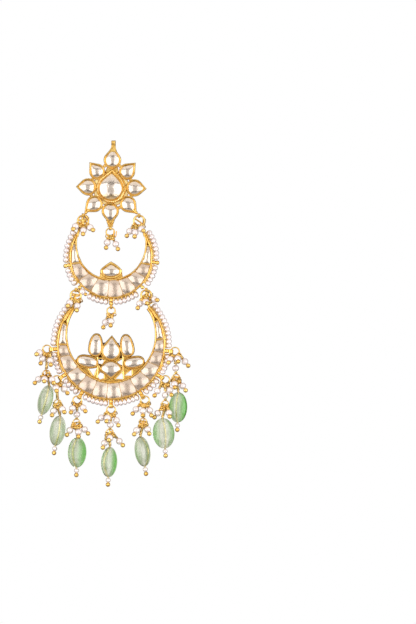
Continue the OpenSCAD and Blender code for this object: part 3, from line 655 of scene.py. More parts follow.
def plate(heap, outline, back, front, bevel, **notes):
    """A flat piece with soft edges; its outline goes once round."""
    before, after = outline[-1:] + outline[:-1], outline[1:] + outline[:1]
    turn = 1 if sum(x * z1 - x1 * z for (x, z), (x1, z1) in zip(outline, after)) > 0 else -1
    inner = []
    for (x0, z0), (x, z), (x1, z1) in zip(before, outline, after):
        tx, tz = x1 - x0, z1 - z0
        size = math.hypot(tx, tz) or 1
        inner.append((x - turn * tz / size * bevel, z + turn * tx / size * bevel))
    rows = ((inner, back), (outline, back + bevel), (outline, front - bevel), (inner, front))
    heap.loft([at_depth(shape, -y) for shape, y in rows], **notes)


def stitch(heap, p, q, depths, r, sides=8, **notes):
    """A short wire from p to q that bows to the front, with its depth at the start, half-way and at the end."""
    path = (p, ((p[0] + q[0]) / 2, (p[1] + q[1]) / 2), q)
    tube(heap, [(x, y, z) for (x, z), y in zip(path, depths)], r, sides, **notes)


print("rows in a rim:", len(BEAD), "and in a double rim:", len(DOUBLE_BEAD))

# %% [markdown]
# ## Wires in the plane of the rings
# The eyelets, bars and wires that the pieces hang from all lie 1.5 mm in front of
# the back plane. A bar ends short of an eyelet's hole and grows thinner there, so
# the ring in the hole can swing freely.

# %% Bars, eyelets and where the rings hang
RING_Y, EYE_MID, EYE_HOLE = -1.5, 0.66, 0.46


def bar(heap, p, q, r, short=0.0, **notes):
    """A bar from p to q; where q is the middle of an eyelet's hole it stops short of q and ends thinner."""
    keep = 1 - short / math.dist(p, q)
    path = zip(between(p[0], p[0] + (q[0] - p[0]) * keep, 6), between(p[1], p[1] + (q[1] - p[1]) * keep, 6))
    ends = (0.8, 0.5) if short else (1.0, 0.92)
    tube(heap, at_depth(path, RING_Y), [r * f for f in (0.92, 1.0, 1.0, 1.0, 1.0, *ends)], 10, **notes)


def eyelet(heap, p, a=0.0, outer=0.72, width=0.8):
    right, up = compass(a)
    hoop(heap, (p[0], RING_Y, p[1]), (right, 0, up), EYE_HOLE, outer, width, deep=0.08)


STUD_EYES = ((-8.75, -8.65), (8.75, -8.65))
LUG_EYES = ((-11.0, -31.9), (11.0, -31.9))
STUD_RING, MIDDLE_RING = (-0.25, -13.85, 1.3), (0.0, -38.4, 1.25)
UPPER_RINGS = ((-8.75, -10.3, 1.65), (8.75, -10.3, 1.65))
LOWER_RINGS = ((-11.0, -33.55, 1.65), (11.0, -33.55, 1.65))
HAND = (0.06, 1.3)  # how far a hand's unevenness moves a point, and how long its waves are
print("hinge rings at", UPPER_RINGS + LOWER_RINGS)

# %% [markdown]
# ## The flower stud
# Eight pear-shaped cups stand round a larger, higher one with a double rim and
# small stitches between its two lines. The top petal runs out into a neck that is
# rolled into a small cross loop, and the bottom one into a stem with a folded V
# and a collar above its ring. A bent wire is soldered behind each cup.

# %% The stud's gold
def petal_at(p, less):
    k = (p[2] - less) / p[2]
    return turned(pear(p[2] * k, p[3] * k, 56), p[0], p[1], p[4])


def centre_at(less):
    return turned(pear(4.65 - less, 6.3 - 1.37 * less, 72), 0.05 - 0.2 * less, -0.15, 4)


def stud_gold():
    h = Heap()
    for p in PETALS:
        cup(h, lambda less: petal_at(p, less), SETTING)
    for p in PETALS:
        (x0, z0), (x1, z1) = petal_at(p, 0.62)[0], petal_at(p, 0.2)[0]
        tube(h, [(x0, -1.66, z0), (x1, -1.93, z1)], [0.16, 0.06], tone=0.6)
    for p, q in zip(PETALS, PETALS[1:] + PETALS[:1]):
        plate(h, disc((p[0] + q[0]) / 2, (p[1] + q[1]) / 2, 0.55, 14), 0, 1.6, 0.15)
    # The middle disc's pale gold is a painted highlight.
    plate(h, disc(0, 0, 5.7, 48), 0, 1.2, 0.2, edge=0.7)
    plate(h, evenly([(-1.9, 4.6), (-1.3, 6.5), (0.4, 6.9), (2.1, 6.5), (2.4, 4.6)], 40), 0.1, 1.5, 0.2, deep=0.1)
    cup(h, centre_at, CUP, DOUBLE_BEAD)
    outer, inner = (evenly(centre_at(less), 52) for less in (0.30, 0.68))
    # The stitches carry a full painted highlight.
    for p, q in zip(outer, inner[1:] + inner[:1]):
        stitch(h, p, q, (-2.24, -2.34, -2.24), 0.13, 6, edge=1.0)
    neck = [(-0.9, 11.2), (1.8, 11.2), (1.45, 12.6), (1.45, 13.9), (0.05, 13.9), (0.05, 12.6)]
    plate(h, evenly(neck, 40), 0.4, 1.9, 0.18)
    hoop(h, (0.75, -1.15, 13.9), (1, 0, 0), 0.5, 0.93, 1.38, 28, deep=0.25)
    plate(h, evenly([(-1.6, -10.1), (1.15, -10.1), (0.4, -12.1), (-0.9, -12.1)], 36), 0.5, 1.9, 0.18)
    tube(h, [(-1.35, -1.88, -10.4), (-0.25, -1.98, -11.7), (0.9, -1.88, -10.4)], 0.18)
    tube(h, [(-0.75, -1.9, -10.4), (-0.25, -1.93, -11.1), (0.3, -1.9, -10.4)], 0.14, tone=0.5)
    tube(h, [(x, RING_Y + half * math.cos(a), -12.0) for x, half in ((-0.95, 0.5), (0.45, -0.5))
             for a in (0.3, 1.2, 2.0, 2.8)], 0.2, loop=True)
    for s, e in zip((-1, 1), STUD_EYES):
        bar(h, (s * 6.9, -6.7), e, 0.44, EYE_MID)
        ball(h, (s * 7.85, RING_Y - 0.1, -7.7), 0.5, round_n=14, high_n=8)
        eyelet(h, e)
    eyelet(h, (STUD_RING[0], STUD_RING[1] + STUD_RING[2]))
    for p in PETALS:
        tube(h, at_depth(petal_at(p, 0.5), 0.0), 0.16, 6, loop=True, deep=0.1)
        ball(h, (p[0], 0.0, p[1]), 0.3, (0, 1, 0), 0.6, 12, 6)
    for r in (5.2, 2.1):
        tube(h, at_depth(disc(0, 0, r, 60), 0.0), 0.18, 6, loop=True, deep=0.1)
    hoop(h, (0, 0.1, 0), (0, 1, 0), 0.55, 1.25, 0.4, 24, deep=0.1)
    h.wobble(*HAND)
    h.become("flower_gold", GOLD, "stud", "flower_setting")


stud_gold()
tell(1)

# %% [markdown]
# The stones sit just inside the rims. A stone's own outline is rounder than its
# cup, and the gold fills the corner that is left at the tip.

# %% The stud's stones
def single_stone(name, body, node, outline, times, front, rise, *more, **how):
    """One stone as a piece of its own, on an outline that is made rounder."""
    h = Heap()
    stone(h, softened(evenly(outline, 44), times), front, rise, *more, **how)
    h.become(name, STONE, body, node)


single_stone("centre_stone_domed", "stud", "centre_stone", centre_at(0.92), 6, CUP, 0.42, n=56, foot_at=0.50)
for i, p in enumerate(PETALS):
    single_stone(f"petal_stone_domed_{i + 1}", "stud", f"petal_stone_{i + 1}", petal_at(p, 0.46), 10, SETTING, 0.12,
                 0.05 * (i % 3))
tell(9)

# %% [markdown]
# ## The crescents
# Each crescent is a tray: a plate with a rounded band along its outer and its
# inner edge, low gold lines across it, and a row of stones between. Past the last
# stone the two bands run on alone and meet at the tip, with a slit between that
# is made dark by painted shade. The plate and the bands carry painted shade too.
# Behind, bent wires follow both edges and cross from one to the other. The
# channel stones are thin barrels, so they curve less along their length.

# %% Bands, lines and stones of a crescent
BAND = ((0.04, 0.0, 0.5), (0.0, 0.15, 0.4), (0.0, -0.62, 0.4), (0.05, -0.5, 0.7), (0.0, -0.42, 0.6),
        (0.05, -0.20, 0.25), (0.15, -0.05, 0.0), (0.28, 0.0, 0.0), (0.40, -0.08, 0.0), (0.48, -0.24, 0.4),
        (0.52, -0.42, 1.0), (0.52, 0.15, 1.0))
BAND_STEP, HALF_BAND, SLIT, SLIT_RUN = 2.0, 0.5, 0.30, 4


def band(heap, tray, column, a0, a1, front=SETTING, profile=BAND, out=0.0, wide=lambda a: 1.0):
    """A rounded band along a rim, or beside it. Its body lies towards the stones, and wide stretches its width."""
    last, sign, base = len(profile) - 1, 1 if column == 1 else -1, len(heap.points)
    depths = [-(high if i in (0, 1, last) else front + high) for i, (_, high, _) in enumerate(profile)]
    angles, rings = between(a0, a1, math.ceil(abs(a1 - a0) / BAND_STEP)), []
    for a in angles:
        line = [spot(tray.centre, rim(tray, column, a) + out + sign * inset * wide(a), a) for inset, _, _ in profile]
        rings.append([(x, y, z) for (x, z), y in zip(line, depths)])
    heap.loft(rings)
    # The third number of each profile row is painted shade.
    heap.notes["deep"][base:] = [dark for _, _, dark in profile] * len(angles)


def across(tray, a, inset):
    """The two ends of a line across a crescent."""
    return at_rim(tray, 1, a, inset), at_rim(tray, 2, a, -inset)


def crescent_tray(heap, tray):
    tip, ridges = tray.tip, tray.ridges
    # The tray's plate carries painted shade.
    plate(heap, cell(tray, -tip, tip, 0.1, 0.1, 90), 0.0, 0.95, 0.1, deep=0.75)

    def wide(a):
        past = (-a + ridges[0]) if a < 0 else (a - ridges[-1])
        if past <= 0:
            return 1.0
        half = (rim(tray, 2, a) - rim(tray, 1, a)) / 2
        slit = max(0.0, SLIT * (1 - past / (tip - max(-ridges[0], ridges[-1]))))
        return 1.0 + ((half - slit / 2) / HALF_BAND - 1.0) * min(1.0, past / SLIT_RUN)

    # The outer band carries a little more painted shade.
    band(heap, tray, 2, -tip, tip, profile=widened(BAND, 1.15, 0.3), wide=wide)
    band(heap, tray, 1, -tip, tip, wide=wide)
    for a in (*ridges[:2], *ridges[-2:]):
        stitch(heap, *across(tray, a, 0.3), (-1.66, -1.72, -1.66), 0.19, deep=0.1)
    for column, out in ((1, 0.5), (2, -0.5)):
        tube(heap, arc(tray, column, out, 2 - tip, tip - 2, 0.0), 0.17, 6, deep=0.1)
    for a in ridges:
        tube(heap, at_depth(across(tray, a, 0.5), 0.0), 0.14, 6, deep=0.1)
    # Near-black plates in the slits at the horns: painted shade.
    for a0, a1 in ((-tip, ridges[0]), (ridges[-1], tip)):
        plate(heap, cell(tray, a0, a1, 0.3, 0.3, 10), 0.5, 1.35, 0.05, deep=1.0, tone=0.7)


def crescent_stones(heap, tray):
    for k, (a0, a1) in enumerate(zip(tray.ridges, tray.ridges[1:])):
        narrow, mid = k in (0, len(tray.ridges) - 2), (a0 + a1) / 2
        trim = math.degrees(0.07 / ((rim(tray, 1, mid) + rim(tray, 2, mid)) / 2))
        shape = softened(evenly(cell(tray, a0 + trim, a1 - trim, 0.50, 0.44, 8), 60), 3)
        if narrow:
            stone(heap, shape, SETTING - 0.1, 0.05, 0.2, 52, 0.3, turn=mid)
        else:
            stone(heap, shape, SETTING - 0.1, 0.21, 0.8 + 0.2 * ((k * 5) % 3 - 1), 52, 0.3, turn=mid,
                  flat=1 - 0.14 * compass(mid)[0] ** 4)


def horn(heap, tray, s, ring, hang):
    """The end of a horn: a neck from the meeting bands to the eyelet that its ring holds."""
    e = spot(ring, ring[2], s * hang)
    p = spot(tray.centre, rim(tray, 2, s * tray.tip) - 0.55, s * (tray.tip - 2))
    keep = 1 - EYE_MID / math.dist(p, e)
    path = [(p[0] + (e[0] - p[0]) * keep * f, RING_Y + 0.25 * (1 - f) ** 1.2, p[1] + (e[1] - p[1]) * keep * f)
            for f in (0.0, 0.33, 0.67, 1.0)]
    tube(heap, path, [0.52, 0.46, 0.42, 0.38], 12, deep=0.1)
    eyelet(heap, e, s * hang)


def station(heap, tray, a, out_to, balls=((0.45, 0.74), (1.5, 0.72))):
    """Small gold balls on a short bar that sticks out from the rim."""
    bar(heap, at_rim(tray, 2, a, -0.3), at_rim(tray, 2, a, out_to), 0.4, deep=0.3)
    for out, size in balls:
        x, z = at_rim(tray, 2, a, out)
        ball(heap, (x, RING_Y + 0.1, z), size, round_n=18, high_n=10)


print("rows in a band:", len(BAND))

# %% [markdown]
# ## Lacing
# Seed pearls are strung on a fine wire along the rim, and the same wire dips to
# the gold between every two pearls. It shows as a row of tiny gold stitches.

# %% Lacing and seed pearls
SEED_PITCH, STRAND_OUT = 1.38, 1.1


def seeds_between(tray, a0, a1):
    """Angles of the seed pearls on a stretch, and the angles half-way between them."""
    middle_r = rim(tray, 2, (a0 + a1) / 2) + STRAND_OUT
    n = max(2, round(math.radians(a1 - a0) * middle_r / SEED_PITCH))
    step = (a1 - a0) / n
    return [a0 + step * (k + 0.5) for k in range(n)], [a0 + step * k for k in range(n + 1)]


def lacing(heap, tray):
    for a0, a1 in tray.strands:
        tube(heap, arc(tray, 2, 0.06, a0, a1, -1.25), 0.2, deep=0.1)
        for a in seeds_between(tray, a0, a1)[1]:
            stitch(heap, at_rim(tray, 2, a, -0.1), at_rim(tray, 2, a, 1.0), (-1.75, -1.85, -1.35), 0.13, 6, deep=0.15)


def seed_strand(heap, tray, rng):
    for a0, a1 in tray.strands:
        for a in seeds_between(tray, a0, a1)[0]:
            x, z = spot(tray.centre, rim(tray, 2, a) + STRAND_OUT + rng.uniform(-0.06, 0.06), a)
            right, up = compass(a)
            along = (right, -0.75 + rng.uniform(-0.15, 0.15), up)
            ball(heap, (x, -1.0 + rng.uniform(-0.08, 0.08), z), rng.uniform(0.93, 1.0), along,
                 rng.uniform(0.72, 0.82), 20, 14, tone=rng.random())


print("stretches of seed pearls:", len(UPPER.strands), "and", len(LOWER.strands))

# %% [markdown]
# ## The upper crescent
# A domed cup with its own stone stands on its inner edge, which carries a second
# gold line beside the first. The dome's rim is round below and softly pointed
# above. Each lug is a short bar with a ball and an eyelet at its end.

# %% Upper crescent
def onion_at(less):
    """The rim round the dome's stone: round below, softly pointed above."""
    rx, top, low = 3.42 - less, 2.95 - 1.3 * less, 2.5 - less
    return [(rx * c, -25.9 + (top * (1 - abs(c)) ** 0.66 if q > 0 else low * q)) for c, q in around(56)]


def upper_gold():
    h = Heap()
    crescent_tray(h, UPPER)
    for a0, a1 in ((-86, -14), (14, 50)):
        band(h, UPPER, 1, a0, a1, SETTING - 0.05, widened(BAND, 0.62), 0.46)
    plate(h, evenly([(-3.35, -25.9), (-3.5, -27.2), (-3.95, -28.8), (3.95, -28.8), (3.5, -27.2), (3.35, -25.9)], 40),
          0.0, 1.55, 0.2, deep=0.15)
    cup(h, onion_at, SETTING, widened(BEAD, 1.4))
    for a, out_to in ((-79, 1.3), (83, 1.3), (0, 1.95)):
        station(h, UPPER, a, out_to)
    eyelet(h, (0, MIDDLE_RING[1] + MIDDLE_RING[2]))
    for s, e in zip((-1, 1), LUG_EYES):
        bar(h, spot(UPPER.centre, 12.6, s * 46), e, 0.44, EYE_MID + 0.12, deep=0.2)
        ball(h, (s * 9.8, RING_Y + 0.1, -31.05), 0.62, round_n=16, high_n=9)
        eyelet(h, e)
        horn(h, UPPER, s, UPPER_RINGS[s > 0], 28)
    lacing(h, UPPER)
    x, z = spot(UPPER.centre, 14.1, -34.5)
    ball(h, (x, -1.3, z), 0.56, round_n=16, high_n=9)
    h.wobble(*HAND)
    h.become("upper_crescent_gold", GOLD, "upper_crescent", "upper_crescent")


upper_gold()
h = Heap()
crescent_stones(h, UPPER)
h.become("upper_channel_stones_domed", STONE, "upper_crescent", "upper_channel_stones")
single_stone("dome_stone_domed", "upper_crescent", "dome_stone", onion_at(0.62), 4, SETTING, 0.16, foot_at=0.8)
h = Heap()
seed_strand(h, UPPER, random.Random(11))
x, z = spot(UPPER.centre, 14.1, -39.8)
ball(h, (x, -1.2, z), 1.05, (1, 0, 0.6), 0.95, 24, 16, tone=0.2)
h.become("upper_seed_pearls", PEARL, "upper_crescent", "upper_strand")
tell(4)

# %% [markdown]
# ## The lower crescent and its lotus
# Six cups stand as a lotus on a pierced plate inside the lower crescent: a pear
# at the top, four ovals and a flat diamond with rounded corners below. Blender
# fills a flat curve that has holes and rounds its edges, so the plate is made
# that way and its mesh is added to the heap. Gold lines run between the cups.
# Near-black patches in the hollows beside them are painted shade, and so is a thin
# dark line round each cup where it meets the plate.

# %% Lotus
LOTUS_OVALS = ((-4.75, -49.05, 2.2, 3.6, 5), (4.9, -49.2, 2.15, 3.55, -8), (-7.4, -54.2, 3.4, 2.0, 12),
               (7.15, -54.5, 3.3, 1.95, -10))
LOTUS_DIAMOND, LOTUS_PEAR = (-0.1, -56.5), (0, -50.85, 3.0, 4.8, 3)
LOTUS_PLATE = ((-11.9, -54.2), (-10.2, -52.8), (-7.5, -52.5), (-4.9, -52.2), (-3.9, -50.6), (3.9, -50.6), (5, -52.4),
               (7.6, -53), (10, -53.8), (11.5, -55.1), (9.3, -58.2), (5, -60.9), (0, -61.6), (-5, -60.9), (-9.3, -58))
LOTUS_GAPS = (((-6.9, -56.5), (-4.4, -56.2), (-5.5, -58.7)),
              ((-4.3, -58.8), (-3.4, -57.6), (-2.3, -58.1), (-2.3, -59.4), (-3.5, -59.8)),
              ((3.6, -57.5), (3.7, -59.7), (1.4, -59.6)),
              ((6.3, -56.8), (6.4, -58.6), (4.2, -58.6)),
              ((-2.2, -53.9), (-2.8, -55.0), (-4.1, -54.8), (-4.2, -53.7), (-3.2, -53.4)),
              ((3.6, -53.4), (3.7, -55.6), (1.8, -54.5)))
LOTUS_BARS = (((-4.2, -52.8), (-4.25, -54.5), (-4.1, -56.5), (-4.35, -59.3)),
              ((3.3, -51.2), (3.75, -53.0), (3.68, -54.6), (3.66, -56.6), (3.95, -59.4)),
              ((2.6, -56.8), (3.2, -57.3), (3.9, -58.5)), ((-3.2, -56.5), (-3.7, -55.6), (-4.3, -55.2)),
              ((2.7, -56.3), (3.3, -55.7), (3.7, -55.6)), ((-3.0, -57.2), (-3.6, -57.4), (-4.2, -57.0)))
LOTUS_SHADE_PATCHES = (((-4.0, -52.95), (-3.45, -51.2), (-2.8, -53.0)), ((2.5, -53.2), (3.2, -51.6), (3.6, -53.1)),
                 ((-4.0, -53.3), (-2.7, -53.5), (-3.4, -53.9)), ((-3.9, -54.8), (-2.8, -55.3), (-3.6, -55.7)),
                 ((2.5, -55.5), (3.45, -55.4), (3.3, -56.4)), ((-3.95, -57.0), (-3.3, -57.3), (-3.8, -57.6)),
                 ((3.2, -57.2), (3.6, -56.9), (3.8, -58.1)), ((-2.6, -48.4), (-2.0, -48.2), (-2.3, -49.2)),
                 ((1.9, -48.3), (2.5, -48.5), (2.3, -49.3)), ((4.9, -53.6), (5.7, -53.9), (5.2, -54.1)),
                 ((-9.9, -54.0), (-9.2, -53.4), (-9.4, -54.2)), ((9.6, -54.6), (10.1, -55.3), (9.4, -55.2)))
LOTUS_SEAMS = (((-9.8, -56.2), (-8.0, -56.6), (-7.3, -57.6), (-6.6, -58.6)),
               ((-5.4, -59.6), (-4.6, -60.2), (-3.4, -60.5)), ((-2.4, -60.4), (-1.2, -59.9), (-0.4, -59.3)),
               ((2.0, -60.2), (0.9, -59.8), (0.2, -59.3)), ((2.8, -60.4), (4.2, -60.1), (5.2, -59.4)),
               ((6.9, -58.9), (7.6, -57.8), (8.4, -57.0), (9.6, -56.4)))
PLATE_FRONT, PLATE_BEVEL = 1.3, 0.12


def lotus_at(i, less):
    """The outlines of the six cups: four ovals, the diamond and the pear."""
    if i == 5:
        x, z, r, tip, turn = LOTUS_PEAR
        k = (r - less) / r
        return turned(pear(r * k, tip * k, 60), x, z, turn)
    if i == 4:
        shape = [((3.45 - less) * c, (2.65 - less) * (1 - abs(c) ** 1.9) ** 0.7 if q > 0
                  else -(3.25 - 1.2 * less) * (1 - abs(c)) ** 0.8) for c, q in around(56)]
        return turned(shape, *LOTUS_DIAMOND, 0)
    x, z, rx, rz, turn = LOTUS_OVALS[i]
    narrow = 0.2 if i < 2 else 0.0
    return turned([(a * (1 - narrow * b / rz), b) for a, b in oval(rx - less, rz - less, 52)], x, z, turn)


def pierced_plate(heap, outline, holes, front, bevel, deep):
    flat = bpy.data.curves.new("pierced", "CURVE")
    flat.dimensions, flat.fill_mode = "2D", "BOTH"
    flat.extrude, flat.bevel_depth, flat.bevel_resolution = front / 2 - bevel, bevel, 2
    flat.offset = -bevel
    for points in (outline, *(tuple(reversed(hole)) for hole in holes)):
        line = flat.splines.new("POLY")
        line.points.add(len(points) - 1)
        for q, (x, z) in zip(line.points, points):
            q.co = (x, z, 0, 1)
        line.use_cyclic_u = True
    o = put("pierced", flat)
    bpy.context.view_layer.update()
    mesh = bpy.data.meshes.new_from_object(o.evaluated_get(bpy.context.evaluated_depsgraph_get()))
    base = len(heap.points)
    heap.points += [(v.co.x, -(front / 2 + v.co.z), v.co.y) for v in mesh.vertices]
    heap.faces += [tuple(base + i for i in f.vertices) for f in mesh.polygons]
    for key, kept in heap.notes.items():
        kept += [deep if key == "deep" else 0.0] * len(mesh.vertices)
    bpy.data.objects.remove(o)
    bpy.data.meshes.remove(mesh)


def lotus_plate(h):
    """The plate with its gaps, each with a rim, and the bars, near-black patches of painted shade in the hollows, and
    seams between the cups.
    """
    # The pierced plate carries painted shade.
    pierced_plate(h, LOTUS_PLATE, LOTUS_GAPS, PLATE_FRONT, PLATE_BEVEL, 0.6)
    for hole in LOTUS_GAPS:
        cx, cz = middle(hole)
        edge = evenly([(x + (x - cx) * 0.34, z + (z - cz) * 0.34) for x, z in hole], 24)
        tube(h, at_depth(softened(edge, 2), -1.28), 0.16, loop=True, side=(0, 1, 0))
    # The bars carry a little painted highlight.
    for line in LOTUS_BARS:
        tube(h, at_depth(line, RING_Y), 0.19, edge=0.15)
    # Near-black patches in the hollows: painted shade.
    for shade_patch in LOTUS_SHADE_PATCHES:
        plate(h, evenly(list(shade_patch), 24), 0.6, 1.45, 0.05, tone=1.0)
    for line in LOTUS_SEAMS:
        tube(h, at_depth(line, -1.27), 0.16, tone=0.62)


def lower_gold():
    h = Heap()
    crescent_tray(h, LOWER)
    lotus_plate(h)
    for i in range(6):
        # A thin dark line round each cup where it meets the plate: painted shade.
        tube(h, at_depth(lotus_at(i, 0.02), -PLATE_FRONT), 0.12, 6, loop=True, tone=0.6)
        cup(h, lambda less: lotus_at(i, less), SETTING, widened(BEAD, 0.8))
        tube(h, at_depth(lotus_at(i, 0.5), 0.0), 0.15, 6, loop=True, deep=0.1)
    for a in LOWER_LUGS:
        station(h, LOWER, a, LUG_OUT - EYE_MID, ((0.45, 0.74),))
        eyelet(h, at_rim(LOWER, 2, a, LUG_OUT), a, 0.82, 1.25)
    for s in (-1, 1):
        horn(h, LOWER, s, LOWER_RINGS[s > 0], 6)
    lacing(h, LOWER)
    h.wobble(*HAND)
    h.become("lower_crescent_gold", GOLD, "lower_crescent", "lower_crescent")


lower_gold()
h = Heap()
crescent_stones(h, LOWER)
h.become("lower_channel_stones_domed", STONE, "lower_crescent", "lower_channel_stones")
for i in range(6):
    single_stone(f"lotus_stone_domed_{i + 1}", "lower_crescent", f"lotus_stone_{i + 1}", lotus_at(i, 0.34), 2,
                 SETTING, 0.14, 0.1, gold=0.5, foot_at=0.8)
h = Heap()
seed_strand(h, LOWER, random.Random(23))
h.become("lower_seed_pearls", PEARL, "lower_crescent", "lower_strand")
tell(9)

# %% [markdown]
# ## Head pins
# A pearl hangs on a pin: a wire with a gold ball at its foot that goes up through
# the pearl, makes a loop round the ring, and is wound down round itself. The
# winding is what makes the bright, ribbed gold above each pearl. Each pin is
# drawn straight down once and placed by where it sits on its ring, how it leans
# and how far it tilts to the front.
#
# Between the pins the same wire springs out in fans, wraps the ring, and stands
# round it in loose loops and tangles. Patches of painted shade along these wires
# stand in for the shade among crowded wires, and the wires carry a painted highlight.

# %% Head pins
PEARL_R, PIN_GAP, BALL_R, LOOP_R, LINK_LOOP_R, CORE = 1.1, 0.1, 0.6, 0.48, 0.46, 0.1
TURN_POINTS = 9  # points for each turn of a wound wire


def by_ring(ring, a, r, y=0.0):
    """A point at a radius and an angle, in radians, round the middle of a ring."""
    return ring[0] + r * math.sin(a), RING_Y + y, ring[1] - r * math.cos(a)


def on_ring(ring, place, lean, tilt):
    """A function that puts a point of a pin, drawn straight down, where it belongs."""
    lean, tilt, place = (math.radians(v) for v in (lean, tilt, place))
    down = Vector((math.sin(lean) * math.cos(tilt), -math.sin(tilt), -math.cos(lean) * math.cos(tilt)))
    along = Vector((math.cos(place), 0, math.sin(place)))
    across_pin = (along - down * along.dot(down)).normalized()
    third = (-down).cross(across_pin)
    origin = Vector(by_ring(ring, place, ring[2]))

    def at(x, y, z):
        return origin + across_pin * x + third * y - down * z
    at.down, at.across = down, across_pin
    return at


def painted_wire_shade(path, most=0.62):
    """Painted shade along a wire: dark patches, placed by noise, stand in for the shade among crowded wires."""
    return [most * clamped(3.0 * noise.noise(Vector(p) / 0.6) + 0.05) for p in path]


def winding(heap, at, top, end, r=0.33, wire=0.18, painted_highlight=0.0):
    """A wire wound round the pin, a little loose near the loop."""
    turns = max(1.5, (end - top) / 0.40)
    path = []
    for f in between(0, 1, int(turns * TURN_POINTS)):
        wide = r + 0.2 * math.exp(-5 * f) + 0.1 * math.exp(-6 * (1 - f))
        a = math.tau * turns * f
        path.append(at(wide * math.cos(a), wide * math.sin(a), -(top + (end - top) * f)))
    # Painted highlight on the wire and patches of painted shade along it; the long wires of the drops get more
    # highlight and less shade.
    tube(heap, path, wire, 6, deep=0.08 * (1 - painted_highlight), edge=0.15 + 0.35 * painted_highlight,
         tone=painted_wire_shade(path, 0.6 - 0.35 * painted_highlight))


def wrapped(heap, ring, a0, a1, r=0.44, wire=0.13, pitch=0.32):
    """Wire wrapped round a stretch of a ring, where its pins crowd together."""
    turns = math.radians(a1 - a0) * ring[2] / pitch
    n = int(turns * TURN_POINTS)
    path = []
    for k, a in enumerate(between(a0, a1, n)):
        b = math.tau * turns * k / n
        path.append(by_ring(ring, math.radians(a), ring[2] + r * math.cos(b), r * math.sin(b)))
    # Painted highlight on the wrap and patches of painted shade along it.
    tube(heap, path, wire, 6, deep=0.08, edge=0.15, tone=painted_wire_shade(path))


def loops(heap, at, r):
    """The wire goes twice round its ring before it is wound down."""
    path = []
    for k in range(37):
        a, f = math.tau * k / 18, k / 36
        q = r + 0.14 * math.sin(math.pi * f) + 0.06 * math.sin(3 * a)
        path.append(at(0.34 * (f - 0.5) + 0.2 * math.sin(a), q * math.sin(a), -r + q - q * (1 - math.cos(a))))
    tube(heap, path, 0.15, side=at.across, deep=0.1)


def head_pin(heap, ring, pin, loop_r):
    at, reach = on_ring(ring, *pin[:3]), pin[3]
    foot = reach + PEARL_R + PIN_GAP + BALL_R
    loops(heap, at, loop_r)
    winding(heap, at, loop_r + 0.02, reach - PEARL_R - PIN_GAP)
    tube(heap, [at(0, 0, -loop_r), at(0, 0, -reach), at(0, 0, -foot)], CORE)
    hoop(heap, at(0, 0, -(reach - PEARL_R + 0.02)), at.down, 0.12, 0.36, 0.16, 14, deep=0.2)
    ball(heap, at(0, 0, -foot + 0.14), BALL_R + 0.12, at.down, 1.0, 18, 11, deep=0.06)


def pin_pearl(heap, ring, pin, rng):
    at = on_ring(ring, *pin[:3])
    ball(heap, at(0, 0, -pin[3]), PEARL_R * rng.uniform(0.96, 1.0), at.down, rng.uniform(0.93, 1.0), 30, 20,
         drilled=True, tone=rng.random() * 0.8)


def loose_loops(heap, ring, rng, count, size):
    """Larger loops of the same wire, threaded through a ring at odd angles."""
    for k in range(count):
        place = math.radians(-55 + 110 * (k + 0.5) / count + rng.uniform(-12, 12))
        out = Vector((math.sin(place), 0, -math.cos(place)))
        turn, r = rng.uniform(0.5, 1.2) * rng.choice((-1, 1)), size * rng.uniform(0.85, 1.1)
        aside = Vector((math.cos(place), 0, math.sin(place))) * math.sin(turn) + Vector((0, -1, 0)) * math.cos(turn)
        centre = Vector(by_ring(ring, place, ring[2])) + out * (r - 0.42)
        way = [centre - out * (r * 0.9 * c) + aside * (r * s) for c, s in around(20)]
        # Painted highlight on the loop and patches of painted shade along it.
        tube(heap, way, 0.17, loop=True, deep=0.05, edge=0.15, tone=painted_wire_shade(way, 0.5))


def fan(heap, ring, rows):
    """More wound wire between the pins of a cluster, so they spring from one golden tuft."""
    rows = sorted(rows)
    for p, q in zip(rows, rows[1:]):
        for f in (0.25, 0.5, 0.75):
            place, lean, tilt, reach = (a + (b - a) * f for a, b in zip(p, q))
            at = on_ring(ring, place, lean, tilt * 0.8)
            winding(heap, at, 0.05, min(reach - PEARL_R - 0.1, 1.15), 0.24, 0.17)


def tangle(heap, ring, rng, turns, wide=1.0, wire=0.23):
    """Loose wire that crosses a ring's hole again and again, round the ring's own wire each time."""
    path, a = [], rng.uniform(0, math.tau)
    for k in range(turns):
        a, side = a + rng.uniform(2.0, 3.4), 1 if k % 2 else -1
        for q, y in ((ring[2] + 0.34 * wide, 0.0), (ring[2], 0.42), (ring[2] * 0.35, 0.1), (ring[2] * 0.35, -0.2)):
            path.append(by_ring(ring, a, q, y * side))
    path = softened(path, 2)
    way = [tuple(u + (v - u) * f for u, v in zip(p, q)) for p, q in zip(path, path[1:] + path[:1]) for f in (0.0, 0.5)]
    # Patches of painted shade along the tangle.
    tube(heap, way, wire, 7, loop=True, deep=0.15, tone=painted_wire_shade(way))


# %% [markdown]
# ## The clusters on the hinge rings and the small rings
# A row of the table is one pin: its place on the ring, its lean, its tilt and how
# far below the ring its pearl hangs. The big hinge rings hold more loose wire
# than the small ones, and two bent ends stick up by the ring of the flower.

